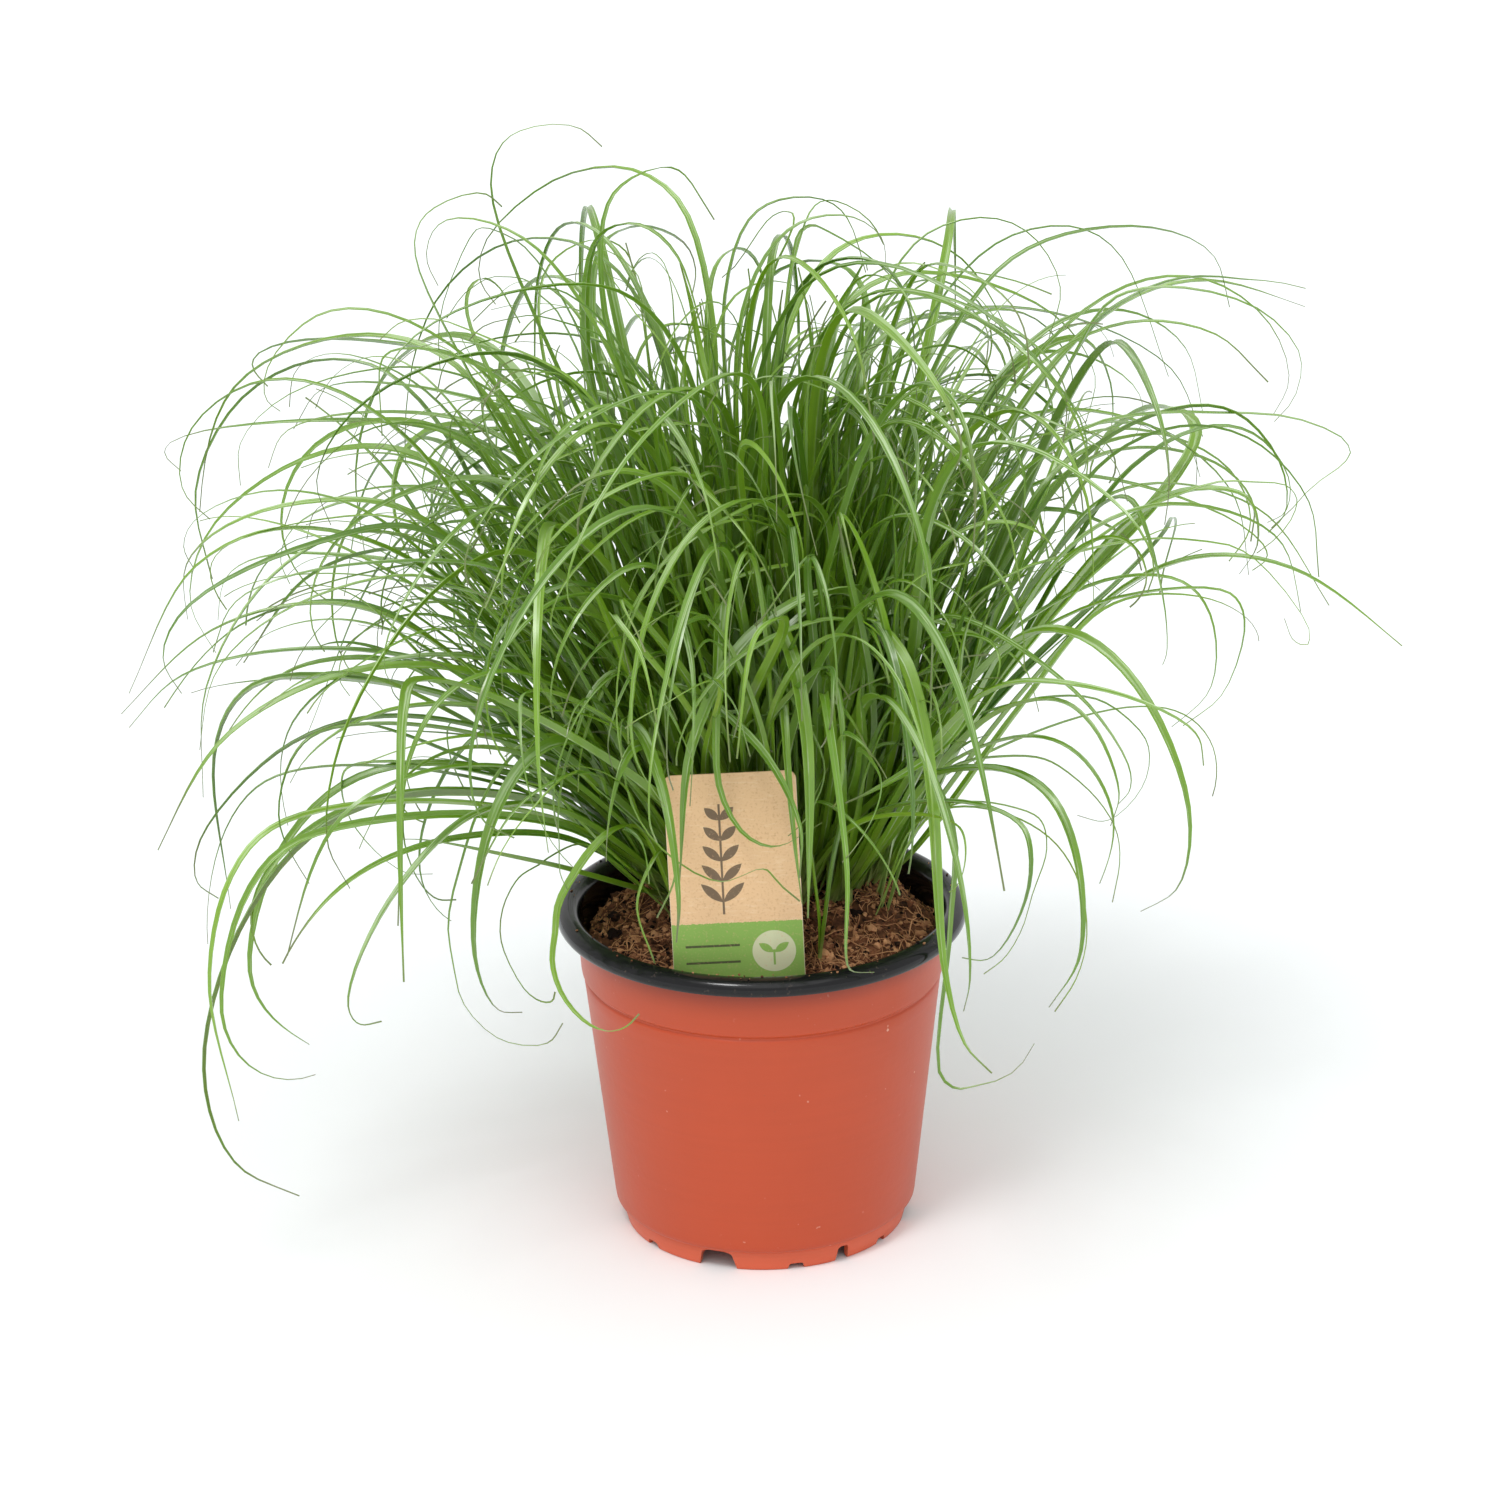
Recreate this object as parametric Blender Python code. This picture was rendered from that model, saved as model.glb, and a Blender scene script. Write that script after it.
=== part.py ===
"""Potted umbrella sedge: a tuft of arching, keeled leaf blades in a two-tone plastic pot.

Metres, +Z up. The origin is on the pot's axis, at the level that the pot stands on. -Y is the
front, where the plant label stands. Each shoot is one closed solid: a short sheath on the soil
with the blades that grow from it. A blade is given by the highest point of its arch and by its
tip, in degrees and millimetres around the crown's axis.
"""

import math
import random

import bmesh
import bpy
import numpy as np
from mathutils import Matrix, Vector, noise
from mathutils.bvhtree import BVHTree

MM = 0.001
GAP = 0.3 * MM

# Pot
POT_STEPS = 36
POT_HEIGHT = 100 * MM
RIM_RADIUS = 60 * MM
LIP_INNER_RADIUS = 52.2 * MM
WALL_TOP_RADIUS = 53.8 * MM
WALL_FOOT_RADIUS = 44.4 * MM
FOOT_RADIUS = 41.5 * MM
WALL_THICKNESS = 1.3 * MM
FLOOR_TOP = 4.4 * MM
FLOOR_UNDERSIDE = 3.2 * MM
FLOOR_RADIUS = 41 * MM
WALL_BOTTOM_HEIGHT = 8.4 * MM
LIP_FOOT_HEIGHT = 95.5 * MM
UPPER_GROOVE_HEIGHT = 79 * MM
LOWER_GROOVE_HEIGHT = 6.4 * MM
DRAIN_HOLES = 6
DRAIN_HOLE_RADIUS = 4 * MM
DRAIN_HOLE_STEPS = 8
DRAIN_CUTTER_DEPTH = 6 * MM
DRAIN_RING_RADIUS = 27 * MM
# Notches in the foot ring: azimuth and width in degrees, depth in millimetres.
FOOT_NOTCHES = (
    (-110, 16, 6.0),
    (-78, 7, 2.0),
    (-58, 6, 5.0),
    (-36, 6, 2.0),
    (-7, 14, 6.0),
    (25, 7, 2.0),
    (58, 6, 5.0),
    (92, 16, 6.0),
    (128, 7, 2.0),
    (156, 6, 5.0),
    (186, 14, 4.0),
    (217, 7, 2.0),
)
NOTCH_WIDTH_SHARES = (1.15, 0.75)
NOTCH_CUTTER_HALF_DEPTH = 4 * MM

# Soil
SOIL_STEPS = 30
SOIL_RINGS = 6
SOIL_EDGE_HEIGHT = 91 * MM
SOIL_MOUND = 11 * MM
SOIL_MOUND_HALF_WIDTH = 37.5 * MM
SOIL_MOUND_HALF_DEPTH = 30 * MM
SOIL_ROUGHNESS = 1.6 * MM
SOIL_GRAIN = 14 * MM

# Label
LABEL_WIDTH = 37.5 * MM
LABEL_TOP = 155 * MM
LABEL_CORNER_RADIUS = 2.5 * MM
LABEL_CORNER_STEPS = 3
LABEL_THICKNESS = 0.6 * MM
LABEL_SHOULDER = 84 * MM
LABEL_POINT = 50 * MM
LABEL_STAKE_WIDTH = 14 * MM
LABEL_PLACE = (-6.4 * MM, -41.8 * MM)
LABEL_TURN = math.radians(2)
LABEL_LEAN = math.radians(4)
LABEL_STRIPS = 10
LABEL_STRIP_RADIUS = 2.6 * MM

# Tuft: how far its drawn blades reach from the pot's axis, and how low beside the pot
TUFT_HALF_WIDTH = 186 * MM
TUFT_HALF_DEPTH = 165 * MM
TUFT_SKIRT = 100 * MM
TUFT_SKIRT_HEIGHT = 92 * MM
TUFT_SKIRT_RISE = 0.9

# Crown: the ground that the shoots grow from
CROWN_CENTRE = Vector((0, 18 * MM, 0))
CROWN_HALF_WIDTH = 34 * MM
CROWN_HALF_DEPTH = 24 * MM
SHOOTS = 56
FEWEST_BLADES = 3
MOST_STANDOUTS = 2
GOLDEN_ANGLE = math.radians(137.508)
SHEATH_HEIGHT = 12 * MM
SHEATH_FOOT_RADIUS = 2.5 * MM
SHEATH_TOP_RADIUS = 2.3 * MM
SHEATH_SPREAD = math.radians(38)
ROOT_SHARE = 0.75
JOINED_SHARE = 0.2
KEPT_SIDE = 0.6

# A young shoot apart from the crown: its place from the crown's centre, how far it leans (as a
# crown shoot at that share of the way to the edge), and its blades, given as the standout ones
YOUNG_SHOOT_PLACE = (16.5 * MM, -45 * MM)
YOUNG_SHOOT_SHARE = 0.45
YOUNG_BLADES = (
    ((-55, 51, 152), (-46, 66, 160), 5, 3.8),
    ((-74, 50, 138), (-66, 47, 151), -60, 2.6),
)

# Blades
BLADE_THICKNESS_SHARE = 0.42
KEEL_SHARE = 0.6
BLADE_ROOT_WIDTH = 2.8 * MM
BLADE_TIP_WIDTH = 0.5 * MM
BLADE_TAPER = 2.2
BLADE_SEGMENT = 102 * MM
BLADE_BEND = math.radians(46)
FEWEST_SEGMENTS = 5
MOST_SEGMENTS = 9
CURVE_POINTS = 20
BLADE_CLEARANCE = 0.5 * MM
LOWEST_TIP = 6 * MM
RIM_CLEARANCE = 4.5 * MM
RIM_CLEARANCE_ABOVE = 2.5 * MM
LABEL_CLEARANCE = 12 * MM
PULL_OUT = 1.15
PULL_IN = 0.85
SHORTEST_ONWARD = 6 * MM
TURNED_BACK = 0.7
TRIES = 360
TRIES_PER_STEP = 24
TRY_TURN = 2.2
TRY_LIFT = 3
SEED = 12

# The blades that a shoot has of its own are drawn between these, in millimetres and degrees.
# The first of a pair is for the crown's middle, the second for its edge. On the right the
# blades arch higher and fall less, and on the left they reach further.
ARCH_HEIGHT = (292, 197)
ARCH_HEIGHT_SCATTER = 24
RIGHT_RISE = 40
RIGHT_FIRMNESS = 0.5
HIGHEST_ARCH = 300
ARCH_REACH = (28, 116)
ARCH_REACH_RANGE = (0.7, 1.3)
AZIMUTH_SCATTER = (60, 24)
MIDDLE_SHARE = 0.45
TIP_FALL = (14, 90)
TIP_FURTHER = (14, 62)
LEFT_FURTHER = 24
MOST_TIP_REACH = 182
TIP_SWING = 9
TIP_DROOP = (60, 150)
DRAWN_WIDTH = (3.0, 5.4)

# A standout blade goes to the shoot with the nearest azimuth, in degrees, and share of the crown.
INNERMOST_STANDOUT = 0.15
HEIGHT_PER_SHARE = 110
REACH_PER_SHARE = 400
TURN_PER_COST = 60
SHARE_COST = 1.5

# Blades that stand out. Arch: azimuth, reach, height. Tip: azimuth, reach, height. Then the
# tip's direction below the horizontal (past 90 it curls back in) and the blade's width.
STANDOUT_BLADES = (
    ((172, 86, 301), (170, 100, 282), 110, 3.5),
    ((155, 62, 322), (148, 50, 315), 60, 2.2),
    ((175, 118, 277), (175, 148, 249), 150, 4.0),
    ((185, 116, 281), (184, 137, 252), 150, 2.6),
    ((165, 126, 253), (165, 146, 238), 80, 3.0),
    ((181, 133, 256), (178, 170, 214), 120, 3.2),
    ((188, 137, 252), (187, 172, 232), 110, 3.0),
    ((201, 104, 275), (200, 110, 250), 90, 4.0),
    ((150, 86, 274), (142, 86, 258), 90, 4.0),
    ((160, 82, 292), (150, 70, 284), 70, 3.0),
    ((139, 33, 310), (110, 30, 293), 60, 3.5),
    ((160, 34, 299), (100, 20, 272), 80, 3.2),
    ((190, 33, 290), (235, 30, 262), 80, 4.2),
    ((45, 25, 303), (20, 40, 286), 60, 3.5),
    ((-10, 32, 290), (-20, 48, 250), 95, 4.5),
    ((14, 96, 288), (14, 101, 270), 150, 4.2),
    ((20, 90, 281), (18, 106, 276), 80, 2.4),
    ((8, 130, 276), (8, 161, 270), 20, 6.0),
    ((4, 122, 275), (3, 152, 235), 125, 3.4),
    ((-5, 114, 272), (-6, 146, 256), 60, 3.0),
    ((-8, 130, 250), (-8, 147, 213), 150, 5.2),
    ((0, 135, 238), (1, 156, 210), 140, 4.0),
    ((-12, 128, 246), (-12, 162, 203), 100, 3.4),
    ((-16, 138, 232), (-17, 144, 209), 130, 6.0),
    ((-10, 134, 205), (-10, 188, 184), 35, 4.2),
    ((-35, 104, 197), (-36, 136, 118), 150, 6.5),
    ((-41, 112, 182), (-42, 130, 150), 130, 5.0),
    ((-33, 96, 162), (-34, 121, 122), 100, 3.4),
    ((-46, 105, 160), (-47, 119, 93), 135, 5.2),
    ((-15, 142, 214), (-15, 155, 190), 150, 2.6),
    ((-26, 142, 210), (-28, 134, 170), 160, 2.6),
    ((-21, 122, 204), (-22, 133, 158), 135, 3.2),
    ((-62, 66, 200), (-60, 128, 88), -10, 6.5),
    ((-55, 120, 158), (-56, 100, 104), 170, 3.2),
    ((200, 112, 142), (200, 152, 18), 150, 6.2),
    ((206, 140, 147), (206, 167, 57), 110, 4.2),
    ((215, 100, 148), (215, 145, 94), 170, 4.6),
    ((195, 116, 134), (195, 99, 96), 190, 3.0),
    ((226, 84, 166), (226, 98, 86), 170, 6.5),
    ((182, 127, 189), (182, 188, 160), 45, 4.6),
    ((176, 126, 180), (176, 157, 172), 40, 3.6),
    ((190, 126, 181), (190, 187, 166), 45, 4.0),
    ((194, 117, 172), (194, 187, 130), 60, 4.6),
    ((200, 123, 168), (200, 166, 120), 150, 4.0),
    ((185, 135, 215), (185, 184, 168), 70, 3.6),
    ((192, 138, 175), (192, 157, 105), 100, 5.6),
    ((207, 134, 172), (207, 147, 126), 120, 4.0),
    ((280, 42, 232), (242, 80, 190), 110, 4.2),
    ((-62, 40, 229), (-50, 87, 202), 80, 4.8),
    ((-68, 52, 206), (252, 75, 128), 95, 6.0),
    ((245, 52, 178), (277, 80, 132), 110, 4.2),
    ((-88, 46, 200), (-82, 76, 118), 95, 5.6),
    ((215, 66, 205), (214, 95, 160), 110, 4.4),
    ((226, 56, 175), (227, 79, 148), 120, 4.4),
    ((222, 64, 136), (238, 84, 80), 130, 4.4),
    ((-90, 120, 205), (-90, 191, 150), 60, 5.0),
    ((90, 105, 215), (90, 145, 150), 70, 5.0),
)


class Clearance:
    """Keeps each blade off what stands already: capsules around straight segments."""

    def __init__(self):
        self.starts = np.empty((0, 3))
        self.ends = np.empty((0, 3))
        self.radii = np.empty(0)

    def add(self, starts, ends, radii):
        self.starts = np.vstack([self.starts, starts])
        self.ends = np.vstack([self.ends, ends])
        self.radii = np.append(self.radii, radii)

    def free(self, starts, ends, radii):
        gaps = segment_distances(starts, ends, self.starts, self.ends)
        return bool((gaps > radii[:, None] + self.radii + BLADE_CLEARANCE).all())


def segment_distances(p0, p1, q0, q1):
    """The distance between each segment of one set and each of another."""
    d1 = (p1 - p0)[:, None]
    d2 = (q1 - q0)[None]
    apart = p0[:, None] - q0[None]
    a = np.maximum((d1 * d1).sum(-1), 1e-18)
    e = np.maximum((d2 * d2).sum(-1), 1e-18)
    b = (d1 * d2).sum(-1)
    c = (d1 * apart).sum(-1)
    f = (d2 * apart).sum(-1)
    across = a * e - b * b
    s = np.clip((b * f - c * e) / np.maximum(across, 1e-18), 0, 1)
    t = np.clip((b * s + f) / e, 0, 1)
    s = np.clip((b * t - c) / a, 0, 1)
    nearest = apart + s[..., None] * d1 - t[..., None] * d2
    return np.sqrt((nearest * nearest).sum(-1))


def material(name, colour, roughness):
    made = bpy.data.materials.new(name)
    made.use_nodes = True
    shader = made.node_tree.nodes["Principled BSDF"]
    shader.inputs["Base Color"].default_value = (*colour, 1)
    shader.inputs["Roughness"].default_value = roughness
    shader.inputs["Metallic"].default_value = 0
    made.diffuse_color = (*colour, 1)
    return made


def named_object(name, bm, finish):
    """Puts a bmesh in the scene under a name, with its material."""
    bmesh.ops.recalc_face_normals(bm, faces=bm.faces)
    mesh = bpy.data.meshes.new(name)
    bm.to_mesh(mesh)
    bm.free()
    mesh.materials.append(finish)
    obj = bpy.data.objects.new(name, mesh)
    bpy.context.scene.collection.objects.link(obj)
    return obj


def cut(obj, cutter):
    """Cuts one object out of another with a Boolean that stays live."""
    cutter.hide_render = True
    cutter.display_type = "WIRE"
    boolean = obj.modifiers.new("cut " + cutter.name, "BOOLEAN")
    boolean.operation = "DIFFERENCE"
    boolean.solver = "EXACT"
    boolean.object = cutter


def polar(azimuth, reach, height):
    """A point given in degrees and millimetres around the crown's axis."""
    angle = math.radians(azimuth)
    flat = Vector((math.cos(angle), math.sin(angle), 0)) * reach * MM
    return Vector((CROWN_CENTRE.x, CROWN_CENTRE.y, height * MM)) + flat


def between(pair, share):
    """The value at a share of the way from the first of a pair to the second."""
    return pair[0] + share * (pair[1] - pair[0])


def pot_profile():
    """The moulding's section, radius and height, from the floor's inside round to its underside."""
    return (
        (0, FLOOR_TOP),
        (FLOOR_RADIUS, FLOOR_TOP),
        (WALL_FOOT_RADIUS - WALL_THICKNESS, WALL_BOTTOM_HEIGHT),
        (LIP_INNER_RADIUS, LIP_FOOT_HEIGHT),
        (LIP_INNER_RADIUS + 1.4 * MM, POT_HEIGHT - 0.6 * MM),
        (RIM_RADIUS - 3.5 * MM, POT_HEIGHT),
        (RIM_RADIUS - 0.7 * MM, POT_HEIGHT - 1 * MM),
        (RIM_RADIUS, POT_HEIGHT - 3 * MM),
        (RIM_RADIUS - 0.8 * MM, POT_HEIGHT - 5 * MM),
        (WALL_TOP_RADIUS, POT_HEIGHT - 4.8 * MM),
        (WALL_TOP_RADIUS - 0.8 * MM, UPPER_GROOVE_HEIGHT + 1 * MM),
        (WALL_TOP_RADIUS - 1.6 * MM, UPPER_GROOVE_HEIGHT),
        (WALL_TOP_RADIUS - 1.4 * MM, UPPER_GROOVE_HEIGHT - 1.4 * MM),
        (WALL_FOOT_RADIUS, LOWER_GROOVE_HEIGHT + 0.8 * MM),
        (WALL_FOOT_RADIUS - 1.4 * MM, LOWER_GROOVE_HEIGHT),
        (FOOT_RADIUS, 0),
        (FOOT_RADIUS - 1.7 * MM, 0),
        (FOOT_RADIUS - 1.1 * MM, FLOOR_UNDERSIDE),
        (0, FLOOR_UNDERSIDE),
    )


def turned(profile, steps):
    """Turns a section that starts and ends on the axis into a closed bmesh."""
    bm = bmesh.new()
    chain = [bm.verts.new((radius, 0, height)) for radius, height in profile]
    edges = [bm.edges.new(pair) for pair in zip(chain, chain[1:])]
    bmesh.ops.spin(
        bm,
        geom=chain + edges,
        cent=(0, 0, 0),
        axis=(0, 0, 1),
        angle=math.tau,
        steps=steps,
        use_merge=True,
    )
    bmesh.ops.remove_doubles(bm, verts=bm.verts, dist=0.01 * MM)
    return bm


def notch_cutter(bm, azimuth, width, depth):
    """A slant-sided block across the foot ring, wider at the floor than at its top."""
    half = FOOT_RADIUS * math.radians(width) / 2
    block = bmesh.ops.create_cube(bm, size=1)["verts"]
    for vert in block:
        top = vert.co.z > 0
        vert.co.x = FOOT_RADIUS + math.copysign(NOTCH_CUTTER_HALF_DEPTH, vert.co.x)
        vert.co.y = math.copysign(half * NOTCH_WIDTH_SHARES[top], vert.co.y)
        vert.co.z = depth * MM if top else -1 * MM
    turn = Matrix.Rotation(math.radians(azimuth), 4, "Z")
    bmesh.ops.transform(bm, matrix=turn, verts=block)


def make_pot(finish):
    pot = named_object("pot", turned(pot_profile(), POT_STEPS), finish)
    notches = bmesh.new()
    for azimuth, width, depth in FOOT_NOTCHES:
        notch_cutter(notches, azimuth, width, depth)
    cut(pot, named_object("foot_notches", notches, finish))
    holes = bmesh.new()
    for index in range(DRAIN_HOLES):
        turn = Matrix.Rotation(index * math.tau / DRAIN_HOLES, 4, "Z")
        place = turn @ Vector((DRAIN_RING_RADIUS, 0, FLOOR_TOP))
        bmesh.ops.create_cone(
            holes,
            cap_ends=True,
            segments=DRAIN_HOLE_STEPS,
            radius1=DRAIN_HOLE_RADIUS,
            radius2=DRAIN_HOLE_RADIUS,
            depth=DRAIN_CUTTER_DEPTH,
            matrix=Matrix.Translation(place),
        )
    cut(pot, named_object("drain_holes", holes, finish))
    pot.data.shade_smooth()
    pot.data.set_sharp_from_angle(angle=math.radians(35))
    return pot


def soil_height(x, y):
    """The rough top of the root ball: low at the wall, mounded under the crown."""
    dx = (x - CROWN_CENTRE.x) / SOIL_MOUND_HALF_WIDTH
    dy = (y - CROWN_CENTRE.y) / SOIL_MOUND_HALF_DEPTH
    mound = SOIL_MOUND * math.exp(-(dx * dx + dy * dy) ** 1.5 / 1.5)
    lumps = noise.noise(Vector((x, y, 0)) / SOIL_GRAIN) * SOIL_ROUGHNESS
    return SOIL_EDGE_HEIGHT + mound + lumps


def inner_radius(height):
    """The pot's inside radius at a height, across the flats of its facets."""
    foot = WALL_FOOT_RADIUS - WALL_THICKNESS
    share = (height - WALL_BOTTOM_HEIGHT) / (LIP_FOOT_HEIGHT - WALL_BOTTOM_HEIGHT)
    return (foot + share * (LIP_INNER_RADIUS - foot)) * math.cos(math.pi / POT_STEPS)


def make_soil(finish):
    bm = bmesh.new()
    bottom = FLOOR_TOP + GAP
    bmesh.ops.create_circle(
        bm,
        cap_ends=True,
        segments=SOIL_STEPS,
        radius=FLOOR_RADIUS - 2 * GAP,
        matrix=Matrix.Translation((0, 0, bottom)),
    )
    levels = (WALL_BOTTOM_HEIGHT, SOIL_EDGE_HEIGHT - 1 * MM)
    radii = [inner_radius(level) - GAP for level in levels]
    for ring in range(1, SOIL_RINGS):
        radii.append(radii[1] * (1 - ring / SOIL_RINGS))
    top = next(iter(bm.faces))
    for step, radius in enumerate(radii):
        below = top
        grown = bmesh.ops.extrude_face_region(bm, geom=[top])["geom"]
        top = next(item for item in grown if isinstance(item, bmesh.types.BMFace))
        if step:
            bmesh.ops.delete(bm, geom=[below], context="FACES_ONLY")
        for vert in top.verts:
            flat = Vector((vert.co.x, vert.co.y)).normalized() * radius
            height = levels[step] if step < 2 else soil_height(*flat)
            vert.co = (*flat, height)
    centre = bmesh.ops.poke(bm, faces=[top])["verts"][0]
    centre.co.z = soil_height(0, 0)
    bmesh.ops.triangulate(bm, faces=bm.faces)
    return named_object("soil", bm, finish)


def label_outline(grow):
    """Half the card's edge, from its point up to the middle of its top, x and z."""
    half = LABEL_WIDTH / 2 + grow
    corner = LABEL_CORNER_RADIUS + grow
    outline = [(0, LABEL_POINT - grow), (LABEL_STAKE_WIDTH / 2 + grow, LABEL_POINT + 10 * MM)]
    outline += [(LABEL_STAKE_WIDTH / 2 + grow, LABEL_SHOULDER - grow), (half, LABEL_SHOULDER - grow)]
    for step in range(LABEL_CORNER_STEPS + 1):
        angle = step / LABEL_CORNER_STEPS * math.pi / 2
        x = half - corner + corner * math.cos(angle)
        z = LABEL_TOP + grow - corner + corner * math.sin(angle)
        outline.append((x, z))
    return outline


def label_place():
    """Leans the card back a little and turns it, about where it enters the soil."""
    pivot = Matrix.Translation((*LABEL_PLACE, SOIL_EDGE_HEIGHT))
    turn = Matrix.Rotation(-LABEL_TURN, 4, "Y") @ Matrix.Rotation(-LABEL_LEAN, 4, "X")
    return pivot @ turn @ Matrix.Translation((0, 0, -SOIL_EDGE_HEIGHT))


def make_card(name, grow, finish):
    """The label's card and stake, or with grow the slot that it needs in the soil."""
    right = label_outline(grow)
    left = [(-x, z) for x, z in reversed(right[1:])]
    bm = bmesh.new()
    front = -LABEL_THICKNESS / 2 - grow
    face = bm.faces.new([bm.verts.new((x, front, z)) for x, z in right + left])
    grown = bmesh.ops.extrude_face_region(bm, geom=[face])["geom"]
    back = [item for item in grown if isinstance(item, bmesh.types.BMVert)]
    bmesh.ops.translate(bm, verts=back, vec=(0, LABEL_THICKNESS + 2 * grow, 0))
    bmesh.ops.transform(bm, matrix=label_place(), verts=bm.verts)
    return named_object(name, bm, finish)


def hermite(start, start_pull, end, end_pull, t):
    """A point of the cubic curve with given ends and end tangents."""
    t2 = t * t
    t3 = t2 * t
    return (
        start * (2 * t3 - 3 * t2 + 1)
        + start_pull * (t3 - 2 * t2 + t)
        + end * (3 * t2 - 2 * t3)
        + end_pull * (t3 - t2)
    )


class Blade:
    """One leaf blade: its arch, its tip, the tip's direction and its width."""

    def __init__(self, arch, tip, droop, width):
        self.arch = arch
        self.tip = tip
        self.droop = droop
        self.width = width * MM

    def varied(self, draw, spread):
        """The blade moved a little, for another try at a clear path."""
        turn = draw.gauss(0, TRY_TURN * spread)
        lift = draw.gauss(0, TRY_LIFT * spread)
        arch = (self.arch[0] + turn, self.arch[1], self.arch[2] + lift)
        tip = (self.tip[0] + turn, self.tip[1], self.tip[2] + lift)
        return Blade(arch, tip, self.droop, self.width / MM)

    def over_arch(self, arch, tip):
        """The level direction in which the blade passes over its arch."""
        outward = (polar(self.arch[0], 1, 0) - polar(self.arch[0], 0, 0)).normalized()
        onward = tip - arch
        onward.z = 0
        turns_back = onward.dot(outward) < -TURNED_BACK * onward.length
        curls_under = turns_back and arch.z - tip.z > onward.length
        if onward.length < SHORTEST_ONWARD or curls_under:
            return outward
        return onward.normalized()

    def path(self, root, lean):
        """Points from the root over the arch to the tip, evenly spaced along the blade."""
        arch = polar(*self.arch)
        tip = polar(*self.tip)
        onward = self.over_arch(arch, tip)
        across = onward.copy()
        if tip.z > arch.z:
            onward = (tip - root).normalized()
        rise = (arch - root).length
        fall = (tip - arch).length
        angle = math.radians(self.droop)
        ending = across * math.cos(angle) - Vector((0, 0, math.sin(angle)))
        points = []
        for step in range(CURVE_POINTS):
            t = step / CURVE_POINTS
            points.append(hermite(root, lean * rise * PULL_OUT, arch, onward * rise * PULL_IN, t))
        for step in range(CURVE_POINTS + 1):
            t = step / CURVE_POINTS
            points.append(hermite(arch, onward * fall * PULL_OUT, tip, ending * fall * PULL_OUT, t))
        return evenly_spaced(points)


def evenly_spaced(points):
    """Points along a chain at equal steps of length and turn, as many as both need."""
    places = np.array(points)
    steps = np.diff(places, axis=0)
    lengths = np.linalg.norm(steps, axis=1)
    onward = steps / lengths[:, None]
    turns = np.arccos(np.clip((onward[1:] * onward[:-1]).sum(axis=1), -1, 1))
    effort = lengths / BLADE_SEGMENT + np.append(0, turns) / BLADE_BEND
    along = np.append(0, effort.cumsum())
    count = min(max(round(along[-1]), FEWEST_SEGMENTS), MOST_SEGMENTS)
    wanted = np.linspace(0, along[-1], count + 1)
    return np.stack([np.interp(wanted, along, places[:, axis]) for axis in range(3)], axis=1)


def widths_along(width, count):
    """The blade's width at each point: narrow in the sheath, full, then tapering to the tip."""
    shares = np.linspace(0, 1, count + 1)
    full = width * (1 - shares**BLADE_TAPER)
    full[:2] = min(BLADE_ROOT_WIDTH, width)
    return np.maximum(full, BLADE_TIP_WIDTH)


def ground_at(ground, place):
    """The height just over the soil under a place."""
    hit = ground.ray_cast(Vector((place.x, place.y, 1)), Vector((0, 0, -1)))[0]
    return hit.z + 1.5 * GAP


class Shoot:
    """A place on the crown, the sheath that stands there and the blades in it."""

    def __init__(self, number, place, share, slots, ground):
        self.name = f"shoot_{number:02d}"
        self.share = share
        self.slots = slots
        outward = Vector((*place, 0))
        self.azimuth = math.degrees(math.atan2(outward.y, outward.x))
        tilt = share**1.5 * SHEATH_SPREAD
        level = outward.normalized() * math.sin(tilt)
        self.lean = Vector((level.x, level.y, math.cos(tilt)))
        self.foot = CROWN_CENTRE + outward
        self.foot.z = ground_at(ground, self.foot)
        self.top = self.foot + self.lean * SHEATH_HEIGHT
        self.standouts = []
        self.blades = {}
        self.room = Clearance()

    def root(self, slot):
        """The middle of a blade's wedge on the sheath's top."""
        angle = math.radians(self.azimuth) + slot * math.tau / self.slots
        flat = Vector((math.cos(angle), math.sin(angle), 0))
        return self.top + flat * SHEATH_TOP_RADIUS * ROOT_SHARE

    def slot_for(self, path):
        """The free wedge on the side that a path from the sheath's top leaves to."""
        away = Vector(path[1]) - self.top
        away -= self.lean * away.dot(self.lean)
        free = [slot for slot in range(self.slots) if slot not in self.blades]
        return max(free, key=lambda slot: away.dot(self.root(slot) - self.top))

    def keeps_side(self, slot, path):
        """Does a path leave the sheath on its wedge's side of the shoot's other blades?"""
        for other, (standing, _) in self.blades.items():
            rooted = self.root(slot) - self.root(other)
            apart = Vector(end_of_joint(path) - end_of_joint(standing))
            if rooted.dot(apart) < KEPT_SIDE * rooted.length * apart.length:
                return False
        return True

    def drawn_blade(self, draw):
        """A blade of the shoot's own: high and upright in the middle, low and wide at the edge."""
        azimuth = self.azimuth + draw.gauss(0, AZIMUTH_SCATTER[self.share > MIDDLE_SHARE])
        height = between(ARCH_HEIGHT, self.share**1.6) + draw.gauss(0, ARCH_HEIGHT_SCATTER)
        side = math.cos(math.radians(azimuth))
        height = min(height + RIGHT_RISE * self.share * max(side, 0), HIGHEST_ARCH)
        reach = between(ARCH_REACH, self.share) * draw.uniform(*ARCH_REACH_RANGE)
        fall = draw.uniform(*TIP_FALL) * (1 - RIGHT_FIRMNESS * max(side, 0))
        further = draw.uniform(*TIP_FURTHER) + LEFT_FURTHER * max(-side, 0)
        tip_reach = min(reach + further, MOST_TIP_REACH)
        arch = (azimuth, reach, height)
        tip = (azimuth + draw.gauss(0, TIP_SWING), tip_reach, height - fall)
        return Blade(arch, tip, draw.uniform(*TIP_DROOP), draw.uniform(*DRAWN_WIDTH))


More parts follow.
